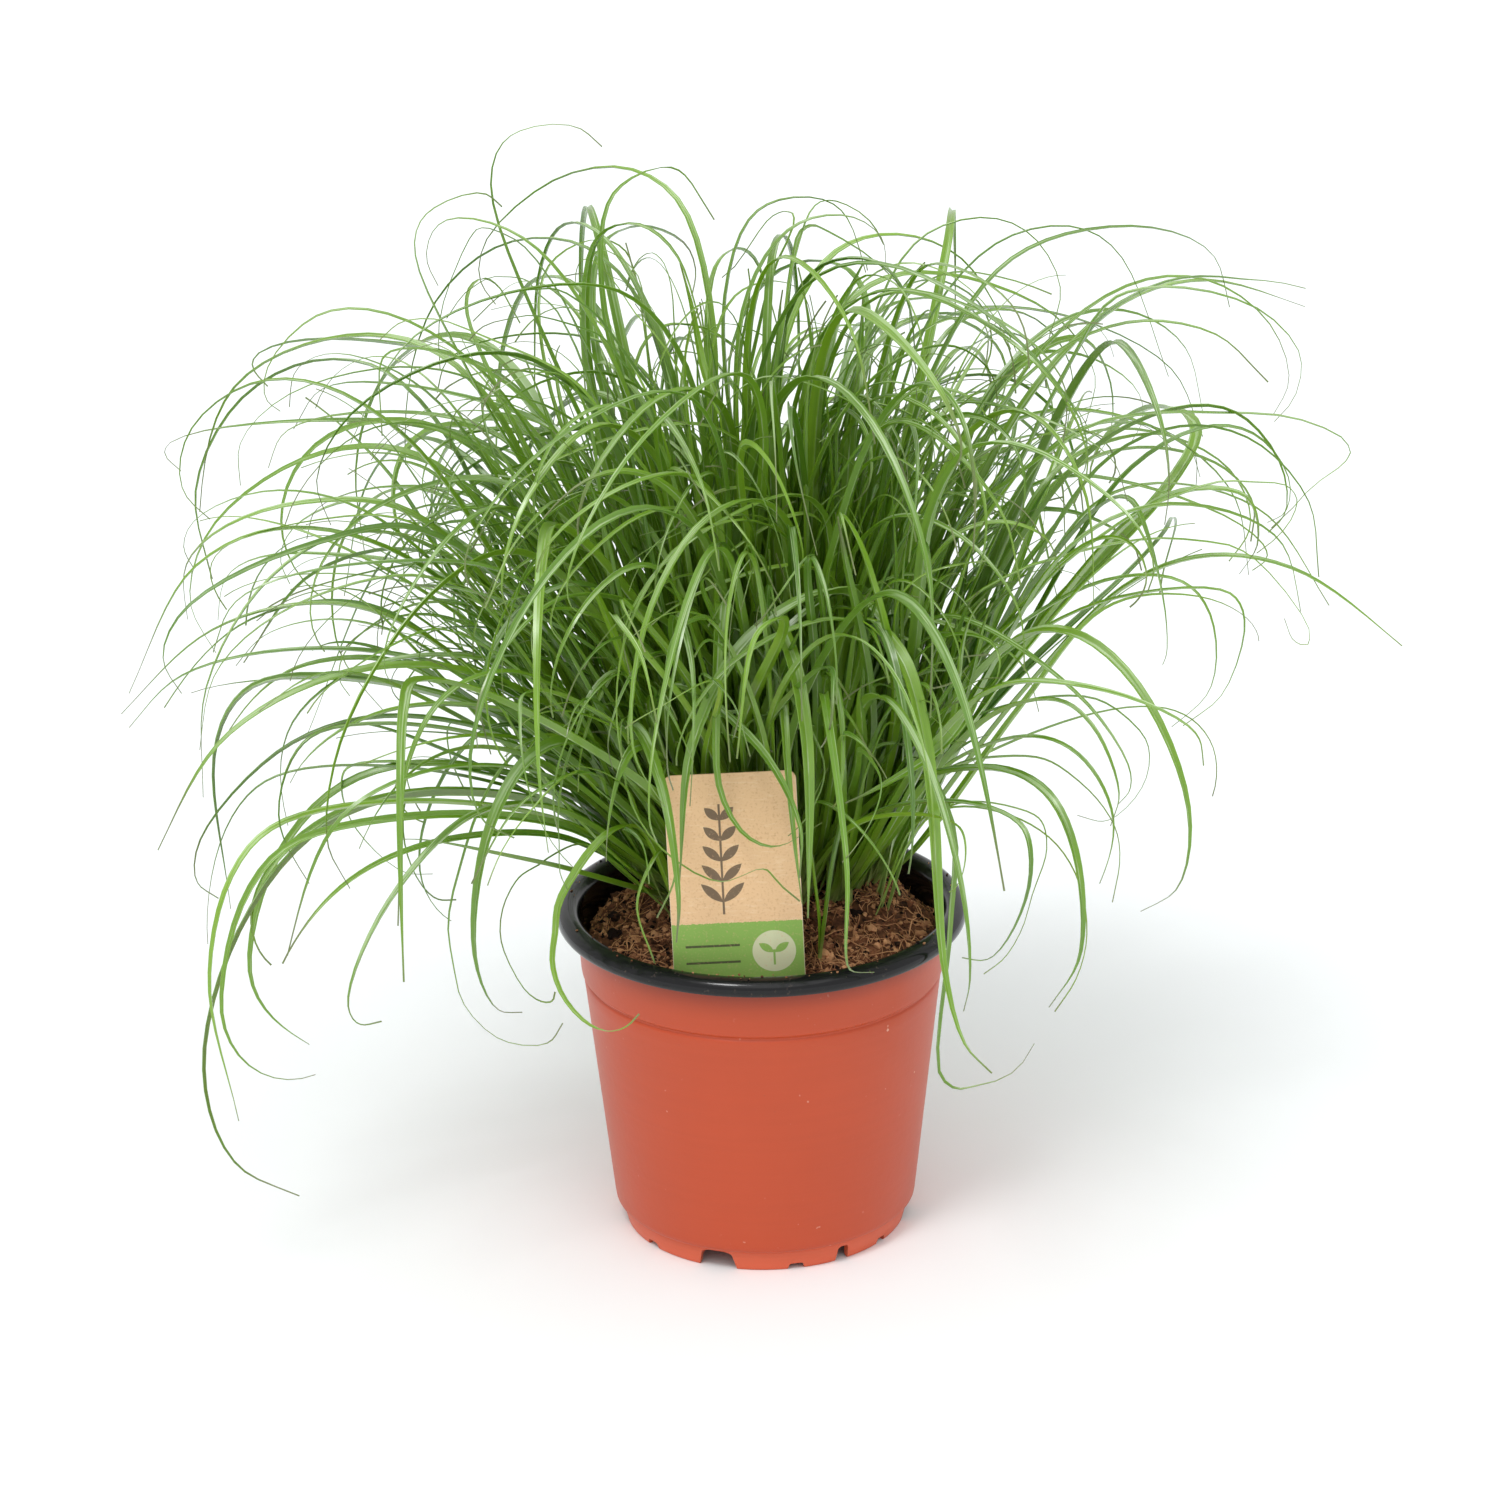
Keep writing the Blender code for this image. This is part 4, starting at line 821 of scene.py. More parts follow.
def soil_finish(settings, name, own_tone):
    """Brown crumbs, with dark soil and painted shade between them, lighter by each crumb's own
    tone if it has one.
    """
    finish = Finish(name, 0.92, {"Specular IOR Level": 0.25})
    grain = finish.mottle(420.0, 4.0, roughness=0.65)
    if own_tone:
        shade = finish.attribute("tone") * 1.15 + grain * 0.7 - 0.38
    else:
        shade = grain * 0.75 + finish.mottle(90.0, 3.0) * 0.35 - 0.2
    stops = (
        (0.15, tuple(settings.dark_and_shade_colour)),
        (0.52, tuple(settings.middle_colour)),
        (0.95, tuple(settings.light_colour)),
    )
    finish.colour(finish.ramp_colour(shade, stops))
    finish.relief(finish.mottle(900.0, 3.0), 0.3 * MM)
    return finish.material


def ground():
    """The CAD soil's faces, to measure heights on."""
    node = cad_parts["soil"]
    places = [vertex.co for vertex in node.data.vertices]
    return BVHTree.FromPolygons(places, [face.vertices for face in node.data.polygons])


def soil_level(tree, x, y):
    """The rough height of the detailed soil at a place."""
    hit = tree.ray_cast(Vector((x, y, 0.2)), Vector((0, 0, -1)))[0]
    level = max(hit.z if hit else 0, SOIL_LOWEST)
    place = Vector((x, y, 0))
    lumps = noise.noise(place / LUMP_SIZE) * LUMP_HEIGHT
    grains = noise.turbulence(place / GRAIN_SIZE, 3, False) * GRAIN_HEIGHT
    apart = (x - HEAP_PLACE[0]) ** 2 + (y - HEAP_PLACE[1]) ** 2
    heap = HEAP_HEIGHT * math.exp(-apart / (2 * HEAP_WIDTH**2))
    return level + lumps + grains + heap - SOIL_SUNK


def make_root_ball(settings, tree):
    """The root ball: a disc drawn up the wall, then inset ring by ring and roughened."""
    ball = begin_turned("coir_soil", SOIL_STEPS, SOIL_PROFILE)
    for ring in range(1, SOIL_RINGS):
        share = (SOIL_RINGS - ring) / (SOIL_RINGS - ring + 1)
        bpy.ops.mesh.extrude_region_move(TRANSFORM_OT_translate={"value": (0, 0, 0)})
        bpy.ops.transform.resize(value=(share, share, 1), center_override=(0, 0, 0))
    bpy.ops.mesh.poke()
    end_edit()
    settle(ball)
    for vertex in ball.data.vertices:
        if vertex.co.z > SOIL_EDGE:
            vertex.co.z = soil_level(tree, vertex.co.x, vertex.co.y)
    ball.data.materials.append(soil_finish(settings, "coir soil", False))
    settle(ball, smooth=60)
    return ball


def crumb_shape(detail, seed):
    """An angular grain: an icosphere whose corners are pushed in and out."""
    grain = added(bpy.ops.mesh.primitive_ico_sphere_add, "grain", subdivisions=detail, radius=1)
    places, faces = arrays_of(grain)
    push = np.random.default_rng(seed).uniform(0.55, 1.15, len(places))
    return places * push[:, None], faces


def scattered(shapes, count, sizes, draw, spot):
    """Copies of shapes at drawn places: each one's points and faces, and every point's tone."""
    parts = []
    tones = []
    for index in range(count):
        points, corners = shapes[index % len(shapes)]
        size = draw.uniform(*sizes) * draw.uniform(0.6, 1)
        stretch = [draw.uniform(0.7, 1.25), draw.uniform(0.6, 1), draw.uniform(0.5, 0.8)]
        spin = Matrix.Rotation(draw.uniform(0, math.tau), 3, "Z")
        tilt = Matrix.Rotation(draw.gauss(0, 0.6), 3, "X")
        place = spot(draw, size)
        laid = (points * stretch * size) @ np.array(spin @ tilt).T
        parts.append((laid + np.array(place), corners))
        tones += [drawn_share(draw, 0.46, 0.3)] * len(points)
    return parts, tones


def on_soil(tree):
    """A function that draws a place on the soil for a crumb of a size, partly sunk in."""

    def spot(draw, size):
        while True:
            x = draw.uniform(-1, 1) * CRUMB_SQUARE
            y = draw.uniform(-1, 1) * CRUMB_SQUARE
            if math.hypot(x, y) < CRUMB_RADIUS - size:
                return x, y, soil_level(tree, x, y) + size * draw.uniform(-0.1, 0.45)

    return spot


def on_lip(draw, size):
    """Draws a place on the lip for a crumb of a size."""
    angle = math.radians(draw.choice(SPILT_AT) + draw.gauss(0, 9))
    reach = draw.uniform(*SPILT_REACH)
    return math.cos(angle) * reach, math.sin(angle) * reach, POT_TOP + size * 0.2


def loose_piece(settings, name, finish_name, parts, tones, smooth=38):
    """A piece of loose soil, whose points carry the tones of their crumbs or fibres."""
    piece = mesh_from(name, *gathered(parts))
    give_values(piece, "tone", tones)
    piece.data.materials.append(soil_finish(settings, finish_name, True))
    settle(piece, smooth)
    return piece


def make_crumbs(settings, tree):
    """Small and larger crumbs of coir, spread over the root ball."""
    draw = random.Random(5)
    spot = on_soil(tree)
    small = [crumb_shape(1, seed) for seed in range(5)]
    large = [crumb_shape(2, seed) for seed in range(9, 13)]
    crumbs, tones = scattered(small, settings.crumbs, CRUMB_SIZES, draw, spot)
    clods, clod_tones = scattered(large, settings.clods, CLOD_SIZES, draw, spot)
    return loose_piece(settings, "soil_crumbs", "coir crumbs", crumbs + clods, tones + clod_tones)


def strand(line, radius):
    """A thin three-sided strand along a line, with pointed ends."""
    steps = len(line)
    onward = unit(np.gradient(line, axis=0))
    side = unit(np.cross(onward, (0.12, 0.3, 1.0)))
    lift = np.cross(side, onward)
    shares = np.linspace(0, 1, steps)
    radii = radius * (0.3 + 0.7 * np.sin(math.pi * np.clip(shares, 0.06, 0.94)))
    rings = []
    for corner in range(3):
        angle = corner * math.tau / 3
        rings.append(line + (side * math.cos(angle) + lift * math.sin(angle)) * radii[:, None])
    places = np.stack(rings, axis=1).reshape(-1, 3)
    faces = [(0, 2, 1), (steps * 3 - 3, steps * 3 - 2, steps * 3 - 1)]
    for step in range(steps - 1):
        for corner in range(3):
            low = step * 3 + corner
            beside = step * 3 + (corner + 1) % 3
            faces += [(low, beside, beside + 3), (low, beside + 3, low + 3)]
    return places, np.array(faces)


def make_fibres(settings, tree):
    """Loose coir fibres that lie on the crumbs in short curves."""
    draw = random.Random(8)
    parts = []
    tones = []
    for _ in range(settings.fibres):
        angle = draw.uniform(0, math.tau)
        reach = FIBRE_START * math.sqrt(draw.random())
        heading = draw.uniform(0, math.tau)
        bend = draw.gauss(0, 0.35)
        length = draw.uniform(*FIBRE_LENGTHS)
        point = Vector((math.cos(angle) * reach, math.sin(angle) * reach))
        line = []
        for step in range(FIBRE_STEPS + 1):
            heading += bend
            point = point + Vector((math.cos(heading), math.sin(heading))) * length / FIBRE_STEPS
            if point.length > FIBRE_REACH:
                point = point.normalized() * FIBRE_REACH
            lift = (0.5 + 1.4 * abs(draw.gauss(0, 0.6))) * MM
            line.append((point.x, point.y, soil_level(tree, point.x, point.y) + lift))
        parts.append(strand(np.array(line), draw.uniform(*FIBRE_RADII)))
        tones += [drawn_share(draw, 0.72, 0.22)] * len(parts[-1][0])
    return loose_piece(settings, "soil_fibres", "coir fibre", parts, tones, smooth=60)


def make_spill(settings):
    """A few crumbs that lie on the lip."""
    shapes = [crumb_shape(1, seed) for seed in range(5)]
    parts, tones = scattered(shapes, SPILT_CRUMBS, SPILT_SIZES, random.Random(21), on_lip)
    return loose_piece(settings, "spilt_crumbs", "spilt coir", parts, tones)


class SEDGE_OT_soil(bpy.types.Operator):
    """Models the coir soil with its crumbs and fibres"""

    bl_idname = "sedge.soil"
    bl_label = "Make soil"

    def execute(self, context):
        settings = context.scene.sedge_soil
        tree = ground()
        stand_for(make_root_ball(settings, tree), "soil")
        loose = [make_crumbs(settings, tree), make_fibres(settings, tree), make_spill(settings)]
        for piece in loose:
            stand_for(piece, None)
        return {"FINISHED"}


class LabelSettings(bpy.types.PropertyGroup):
    """Size and colours of the card label."""

    width: length_setting("Width", "Width of the card", 37.5 * MM)
    thickness: length_setting("Thickness", "Thickness of the card", 0.6 * MM)
    corner: length_setting("Corner radius", "Radius of the card's rounded corners", 2.5 * MM)
    card_colour: colour_setting(
        "Card colour", "Colour of the uncoated kraft card", (0.83, 0.55, 0.31)
    )
    band_colour: colour_setting(
        "Band colour", "Colour of the printed band along the foot", (0.27, 0.46, 0.1)
    )
    ink_colour: colour_setting("Ink colour", "Colour of the printed sprig", (0.06, 0.045, 0.035))
    disc_colour: colour_setting(
        "Disc colour", "Colour of the disc on the band", (0.72, 0.72, 0.48)
    )
    fleck_colour: colour_setting(
        "Fleck colour", "Colour of the card's dark flecks", (0.6, 0.33, 0.16)
    )
    fibre_colour: colour_setting(
        "Fibre colour", "Colour of the card's pale fibres", (0.95, 0.72, 0.48)
    )
    edge_colour: colour_setting("Edge colour", "Colour of the card's cut sides", (0.9, 0.74, 0.55))


def leaf_mask(across, up, middle, tilt, size):
    """1 inside a pointed leaf on the card, given by its middle, its tilt, and length and width."""
    length, width = size
    cos = math.cos(tilt)
    sin = math.sin(tilt)
    beside = across - middle[0]
    above = up - middle[1]
    half = (1 - ((beside * cos + above * sin) / (length / 2)) ** 2.0).largest(0) * (width / 2)
    return abs(above * cos - beside * sin) < half


def sprig_mask(across, up):
    """1 on the printed sprig: a stem with rows of paired leaves."""
    ink = (abs(across - STEM_ACROSS) < STEM_HALF_WIDTH) * (up > STEM_UP[0]) * (up < STEM_UP[1])
    for side, tilt in ((-1, math.pi - LEAF_TILT), (1, LEAF_TILT)):
        for row in range(LEAF_ROWS):
            aside = LEAF_ASIDE[0] - LEAF_ASIDE[1] * row
            middle = (STEM_ACROSS + side * aside, FIRST_ROW_UP + row * ROW_SPACING)
            size = (LEAF_LENGTH[0] - row * LEAF_LENGTH[1], LEAF_WIDTH)
            ink = ink.largest(leaf_mask(across, up, middle, tilt, size))
    return ink


def sprout_mask(across, up):
    """1 on the sprout in the printed disc: two leaves on a stalk."""
    left, right = (
        leaf_mask(across, up, (aside, SPROUT_LEAVES_UP), tilt, SPROUT_LEAF_SIZE)
        for aside, tilt in SPROUT_LEAVES
    )
    stalk = abs(across - DISC_PLACE[0]) < STALK_HALF_WIDTH
    return left.largest(right).largest(stalk * (up > STALK_UP[0]) * (up < STALK_UP[1]))


def card_finish(settings):
    """Kraft card with flecks, a printed green band with a pale disc, and a plain leafy sprig."""
    finish = Finish("printed kraft card", 0.72, {"Specular IOR Level": 0.3})
    card = finish.node("ShaderNodeUVMap", {"uv_map": "card"})
    across, up, _ = finish.parts(finish.scaled(card, (settings.width / MM, 1 / MM, 1)))
    flecks = finish.mottle(1500.0, 3.0)
    fibre = finish.mottle(1.0, 3.0, finish.scaled(finish.place, (260, 260, 1200)))
    hem = finish.mottle(1.0, 3.0, finish.vector(across, 0.0, 0.0), 0.7)
    worn = 1 - flecks.ramp(0.55, 0.8) * 0.5
    band = (up + hem * BAND_HEM) < BAND_TOP
    disc = ((across - DISC_PLACE[0]) ** 2.0 + (up - DISC_PLACE[1]) ** 2.0) ** 0.5 < DISC_RADIUS
    low_rule, high_rule = (abs(up - height) < RULE_HALF_WIDTH for height in RULES_UP)
    rules = low_rule.largest(high_rule) * (across < RULES_ACROSS[1]) * (across > RULES_ACROSS[0])
    paper = finish.mix(settings.card_colour, settings.fleck_colour, flecks.ramp(0.5, 0.75) * 0.6)
    paper = finish.mix(paper, settings.fibre_colour, fibre.ramp(0.5, 0.8) * 0.45)
    inked = finish.mix(settings.band_colour, settings.disc_colour, disc * 0.9)
    inked = finish.mix(inked, settings.band_colour, disc * sprout_mask(across, up))
    inked = finish.mix(inked, settings.ink_colour, rules * 0.85)
    paint = finish.mix(paper, inked, band * worn)
    sprig = sprig_mask(across, up) * (1 - band) * worn * 0.82
    paint = finish.mix(paint, settings.ink_colour, sprig)
    side = settings.width / MM / 2
    rim = abs(across).ramp(side - 0.25, side - 0.05)
    finish.colour(finish.mix(paint, settings.edge_colour, rim * 0.8))
    finish.relief(flecks * 0.5 + fibre * 0.5, 0.04 * MM)
    return finish.material


def at_foot_middle(face):
    """Is this the middle face of the card's foot, which the stake is drawn from?"""
    return face.normal.z < -0.9 and abs(face.calc_center_median().x) < 1 * MM


def at_top_corner(edge, half_width):
    """Is this the short edge through the card at one of its two top corners?"""
    return all(
        vertex.co.z > LABEL_TOP - 1 * MM and abs(vertex.co.x) > half_width - 1 * MM
        for vertex in edge.verts
    )


class SEDGE_OT_label(bpy.types.Operator):
    """Models the card label on its stake"""

    bl_idname = "sedge.label"
    bl_label = "Make label"

    def execute(self, context):
        settings = context.scene.sedge_label
        height = LABEL_TOP - LABEL_SHOULDER
        card = added(
            bpy.ops.mesh.primitive_cube_add,
            "card_label",
            size=1,
            location=(0, 0, LABEL_SHOULDER + height / 2),
            scale=(settings.width, settings.thickness, height),
        )
        bpy.ops.object.transform_apply(location=True, rotation=True, scale=True)
        begin_edit(card)
        for side in (-1, 1):
            bpy.ops.mesh.select_all(action="SELECT")
            bpy.ops.mesh.bisect(plane_co=(side * STAKE_HALF_WIDTH, 0, 0), plane_no=(1, 0, 0))
        pick(card, "FACE", at_foot_middle)
        for drop in (LABEL_SHOULDER - LABEL_POINT - STAKE_TAPER, STAKE_TAPER):
            bpy.ops.mesh.extrude_region_move(TRANSFORM_OT_translate={"value": (0, 0, -drop)})
        bpy.ops.transform.resize(value=(0.05, 1, 1), center_override=(0, 0, LABEL_POINT))
        pick(card, "EDGE", lambda edge: at_top_corner(edge, settings.width / 2))
        bpy.ops.mesh.bevel(offset=settings.corner, segments=8, affect="EDGES")
        pick(card, "EDGE", lambda edge: same(edge, 1) and edge.calc_face_angle(0) > 0.8)
        bpy.ops.mesh.bevel(offset=CARD_EDGE, segments=2, affect="EDGES")
        end_edit()
        places = np.array([vertex.co for vertex in card.data.vertices])
        across = places[:, 0] / settings.width
        give_map(card, "card", np.stack([across, places[:, 2] - LABEL_SHOULDER], 1))
        pivot = Matrix.Translation(LABEL_PLACE)
        turn = Matrix.Rotation(-LABEL_TURN, 4, "Y") @ Matrix.Rotation(-LABEL_LEAN, 4, "X")
        card.matrix_world = pivot @ turn @ Matrix.Translation((0, 0, -LABEL_PLACE.z))
        card.data.materials.append(card_finish(settings))
        settle(card, smooth=30)
        stand_for(card, "plant_label")
        return {"FINISHED"}


class LeafSettings(bpy.types.PropertyGroup):
    """Number, form and colours of the leaf blades."""

    companions: count_setting(
        "Companions", "Slimmer blades that each shoot of the crown has beside its own", 14, 0, 30
    )
    fold: share_setting("Fold", "Depth of a blade's keel as a share of its width", 0.3)
    thickness: share_setting(
        "Thickness", "Thickness of a blade as a share of its width", 0.09, 0.01
    )
    deep_colour: colour_setting(
        "Deep colour", "Colour of the darkest blades", (0.068, 0.168, 0.008)
    )
    fresh_colour: colour_setting(
        "Fresh colour", "Colour of the freshest blades", (0.24, 0.435, 0.014)
    )
    sheath_colour: colour_setting(
        "Sheath colour", "Colour of the blades where they leave the soil", (0.33, 0.42, 0.13)
    )
    tip_colour: colour_setting("Tip colour", "Colour of the dry tips", (0.15, 0.17, 0.065))
    # Painted highlight: silvery streaks on the blades where they face the light.
    painted_sheen_colour: colour_setting(
        "Painted sheen colour", "Colour of the silvery streaks", (0.66, 0.82, 0.5)
    )
    seed: count_setting("Seed", "Start of the random draws for the blades", 3, 0, 9999)


def leaf_finish(settings):
    """Fresh leaf: fine veins, a pale midrib brightened in patches by painted sheen, pale root, dry
    tip, painted silvery highlights where a blade faces the light, and a waxy coat.
    """
    even = {
        "Specular IOR Level": 0.6,
        "Coat Weight": 0.5,
        "Coat Roughness": 0.2,
        "Subsurface Weight": 0.1,
        "Subsurface Radius": (0.4, 1.0, 0.15),
        "Subsurface Scale": 1.2 * MM,
    }
    finish = Finish("sedge leaf", 0.36, even)
    u, along, _ = finish.parts(finish.node("ShaderNodeUVMap", {"uv_map": "blade"}))
    tone = finish.attribute("tone")
    age = finish.attribute("age")
    across = abs(u - 0.5) * 2
    veins = finish.mottle(1.0, 2.0, finish.vector(u * 26, along * 3, tone * 40))
    patches = finish.mottle(1.0, 3.0, finish.vector(u * 2, along * 14, tone * 90))
    streaks = finish.mottle(1.0, 2.0, finish.vector(u * 5, along * 7, tone * 170))
    aside, back, up = finish.parts(finish.node("ShaderNodeNewGeometry", output="Normal"))
    # Painted highlight: silvery streaks where a blade's face turns towards the lights, away from
    # its root.
    lit = (up * 0.86 - aside * 0.3 - back * 0.4).ramp(0.6, 1.0)
    painted_glints = streaks.ramp(0.48, 0.58) * lit * along.ramp(0.12, 0.3) * 0.5
    deep = settings.deep_colour
    # The pale midrib: a faint even line that is the leaf's own colour, and brighter patches along
    # it that are painted sheen.
    pale = [part * 0.6 + 0.3 for part in settings.fresh_colour]
    midrib = across.ramp(0.2, 0.02) * (0.2 + patches.ramp(0.48, 0.66) * 0.6)
    green = finish.mix(deep, settings.fresh_colour, tone * 0.75 + patches * 0.5 - 0.12)
    green = finish.mix(green, deep, veins.ramp(0.42, 0.7) * 0.35)
    green = finish.mix(green, pale, midrib)
    green = finish.mix(green, settings.painted_sheen_colour, painted_glints)
    green = finish.mix(green, settings.sheath_colour, along.ramp(0.16, 0.02) * 0.8)
    green = finish.mix(green, settings.tip_colour, (along + age * 0.1).ramp(0.95, 1.04) * 0.9)
    finish.colour(green)
    finish.relief(veins * 0.5 + across.ramp(0.2, 0.0) * 0.5, 0.12 * MM)
    return finish.material


def blade_pattern(settings):
    """One blade of unit width and length: a strip folded along its midrib, with a thickness."""
    strip = added(
        bpy.ops.mesh.primitive_grid_add,
        "blade",
        x_subdivisions=2,
        y_subdivisions=BLADE_STEPS,
        size=1,
    )
    begin_edit(strip)
    pick(strip, "VERT", lambda vertex: abs(vertex.co.x) < 0.1)
    bpy.ops.transform.translate(value=(0, 0, -settings.fold))
    bpy.ops.mesh.select_all(action="SELECT")
    bpy.ops.transform.translate(value=(0, 0.5, settings.fold / 2))
    end_edit()
    settle(strip)
    apply_modifier(strip, "SOLIDIFY", thickness=settings.thickness, offset=0)
    begin_edit(strip)
    end_edit()
    return arrays_of(strip)


def neighbours_of(node):
    """The merged corners of a CAD node and, for each, the corners that it shares an edge with."""
    mesh = node.data
    places = np.empty(len(mesh.vertices) * 3)
    mesh.vertices.foreach_get("co", places)
    corners = np.empty(len(mesh.loops), dtype=int)
    mesh.loops.foreach_get("vertex_index", corners)
    places, merged = np.unique(places.reshape(-1, 3).round(7), axis=0, return_inverse=True)
    near = [set() for _ in places]
    for triangle in merged.ravel()[corners].reshape(-1, 3):
        for corner in triangle:
            near[corner].update(int(other) for other in triangle if other != corner)
    return places, near


def spread(places, group):
    """The largest distance between the places of a small group."""
    points = places[list(group)]
    return np.linalg.norm(points[:, None] - points[None], axis=2).max()


def guides_of(node):
    """A shoot's foot, and the middle line and width of each blade of its solid, foot to tip.

    A blade is walked from its tip down, one ring of three corners after another, until it joins
    the sheath or another blade.
    """
    places, near = neighbours_of(node)
    lines = []
    widths = []
    used = set()
    for tip, ring in enumerate(near):
        gaps = np.linalg.norm(places[list(ring)] - places[tip], axis=1)
        if len(ring) != 3 or gaps.min() < TIP_LENGTH:
            continue
        seen = {tip}
        rings = []
        while len(ring) == 3:
            rings.append(sorted(ring))
            seen |= ring
            ring = set().union(*(near[corner] for corner in ring)) - seen
        middles = [places[group].mean(axis=0) for group in rings]
        if np.linalg.norm(middles[-1] - middles[-2]) < SHEATH_STEP and len(rings) > SHEATH_RINGS:
            rings.pop()
            middles.pop()
        used |= {corner for group in rings for corner in group} | {tip}
        lines.append([places[tip]] + middles)
        widths.append(max(spread(places, group) for group in rings[:-1]))
    top = np.mean([line[-1] for line in lines], axis=0)
    rest = [place for index, place in enumerate(places) if index not in used]
    foot = np.mean([place for place in rest if place[2] < top[2] - 5 * MM], axis=0)
    root = foot + (foot - top) * 0.3
    return foot, [(np.array([root] + line[::-1]), width) for line, width in zip(lines, widths)]


def between(low, high, first, second, t):
    """The place at t on the straight way from the first, at low, to the second, at high."""
    return (high - t) / (high - low) * first + (t - low) / (high - low) * second


def smooth_line(points):
    """A smooth curve through points, at even steps of its length."""
    padded = np.vstack([2 * points[0] - points[1], points, 2 * points[-1] - points[-2]])
    fine = []
    for group in zip(padded, padded[1:], padded[2:], padded[3:]):
        knots = [0.0]
        for start, end in zip(group, group[1:]):
            knots.append(knots[-1] + max(np.linalg.norm(end - start) ** 0.5, 1e-4))
        t = np.linspace(knots[1], knots[2], CURVE_STEPS, endpoint=False)[:, None]
        for reach in (1, 2):
            ends = zip(knots, knots[reach:], group, group[1:])
            group = [between(*end, t) for end in ends]
        fine.append(between(knots[1], knots[2], *group, t))
    return evenly(np.vstack(fine + [points[-1:]]), LINE_STEPS)


def evenly(line, steps, turning=0.0):
    """A line at even steps of its length, or also of its turning, weighed in metres per radian."""
    parts = np.diff(line, axis=0)
    lengths = np.linalg.norm(parts, axis=1)
    onward = parts / np.maximum(lengths, 1e-9)[:, None]
    turns = np.arccos(np.clip((onward[1:] * onward[:-1]).sum(axis=1), -1, 1))
    effort = np.append(0, (lengths + turning * np.append(0, turns)).cumsum())
    wanted = np.linspace(0, effort[-1], steps + 1)
    return np.stack([np.interp(wanted, effort, line[:, axis]) for axis in range(3)], axis=1)


def turned_about(vectors, axes, angles):
    """Each vector turned by its angle about its axis, or about one for all."""
    cos = np.cos(angles)[:, None]
    sin = np.sin(angles)[:, None]
    axes = np.broadcast_to(axes, vectors.shape)
    along = (vectors * axes).sum(axis=1)[:, None]
    return vectors * cos + np.cross(axes, vectors) * sin + axes * along * (1 - cos)


def level_side(line):
    """The level direction square to the way from a line's start to its end."""
    flat = line[-1] - line[0]
    side = np.array([flat[1], -flat[0], 0.0])
    return side / max(np.linalg.norm(side), 1e-9)


class Habit:
    """How one blade differs from the line that it follows."""

    def __init__(self, draw, limits):
        self.sway = draw.uniform(-1, 1) * math.radians(limits["sway"])
        self.bow = draw.gauss(0, math.radians(limits["bow"])) if limits["bow"] else 0
        self.phase = draw.uniform(0, math.tau)
        self.curl = math.radians(draw.choice(limits["curls"]) * draw.uniform(0.4, 1))
        self.curl_start = draw.uniform(0.6, 0.84)
        self.curl_side = draw.gauss(0, 0.6)
        self.roll = draw.gauss(0, limits["roll"])
        self.twist = draw.gauss(0, limits["twist"])
        self.taper = draw.uniform(1.9, 4.2)
        self.tone = drawn_share(draw, 0.5, 0.26)
        self.age = draw.random() ** 2

    def bent(self, line):
        """The line with the blade's own sway and bow, and the curl of its tip."""
        parts = np.diff(line, axis=0)
        shares = np.linspace(0, 1, len(parts))
        side = level_side(line)
        sway = self.sway * np.sin(shares * math.tau * 0.8 + self.phase) * shares
        parts = turned_about(parts, UPWARD, sway - sway[0])
        parts = turned_about(parts, side, self.bow * np.cos(shares * math.pi))
        tail = np.clip((shares - self.curl_start) / (1 - self.curl_start), 0, 1)
        axis = side + UPWARD * self.curl_side
        parts = turned_about(parts, axis / np.linalg.norm(axis), -self.curl * tail**1.6)
        return np.vstack([line[:1], line[0] + parts.cumsum(axis=0)])


def hits_pot(line):
    """Does a line pass through the lip or wall, into the soil past its root, or to the floor?"""
    radius = np.hypot(line[:, 0], line[:, 1])
    height = line[:, 2]
    from_root = np.linalg.norm(line - line[0], axis=1)
    in_lip = (radius > LIP_RADII[0]) & (radius < LIP_RADII[1]) & (height < LIP_TOP)
    inside = (radius <= LIP_RADII[0]) & (height < INSIDE_LOWEST) & (from_root > ROOT_LENGTH)
    return bool((in_lip | inside).any() or height.min() < FLOOR_CLEARANCE)


def hides_front(line):
    """Does a line touch the card, or hang in front of its face or of the pot's mouth?"""
    across, front, height = line.T
    card = LABEL_PLACE.y + (height - LABEL_PLACE.z) * math.tan(LABEL_LEAN)
    near_card = (np.abs(across - LABEL_PLACE.x) < CARD_HALF_WIDTH) & (height < CARD_TOP)
    near_mouth = (np.abs(across) < MOUTH_HALF_WIDTH) & (height < MOUTH_TOP)
    covers_card = near_card & (front < card + 2 * MM)
    return bool((covers_card | (near_mouth & (front < MOUTH_FRONT))).any())


def leaves_box(line):
    """Does a line leave the box of the solids, or come within a margin of its sides?"""
    low, high = np.array(cad_box)
    return bool((line < low + BOX_MARGIN).any() or (line > high - BOX_MARGIN).any())


def in_open_part(line, draw):
    """Does a line pass where the tuft stays open beside the pot, and is it one that keeps away?"""
    seen = line[:, 2] + FRONT_SLOPE * line[:, 1]
    for side, (beside, heights, share) in ((1, OPEN_RIGHT), (-1, OPEN_LEFT)):
        across = side * line[:, 0] / MM
        near = (across > beside[0]) & (across < beside[-1])
        if (near & (seen / MM < np.interp(across, beside, heights))).any():
            return draw.random() < share
    return False


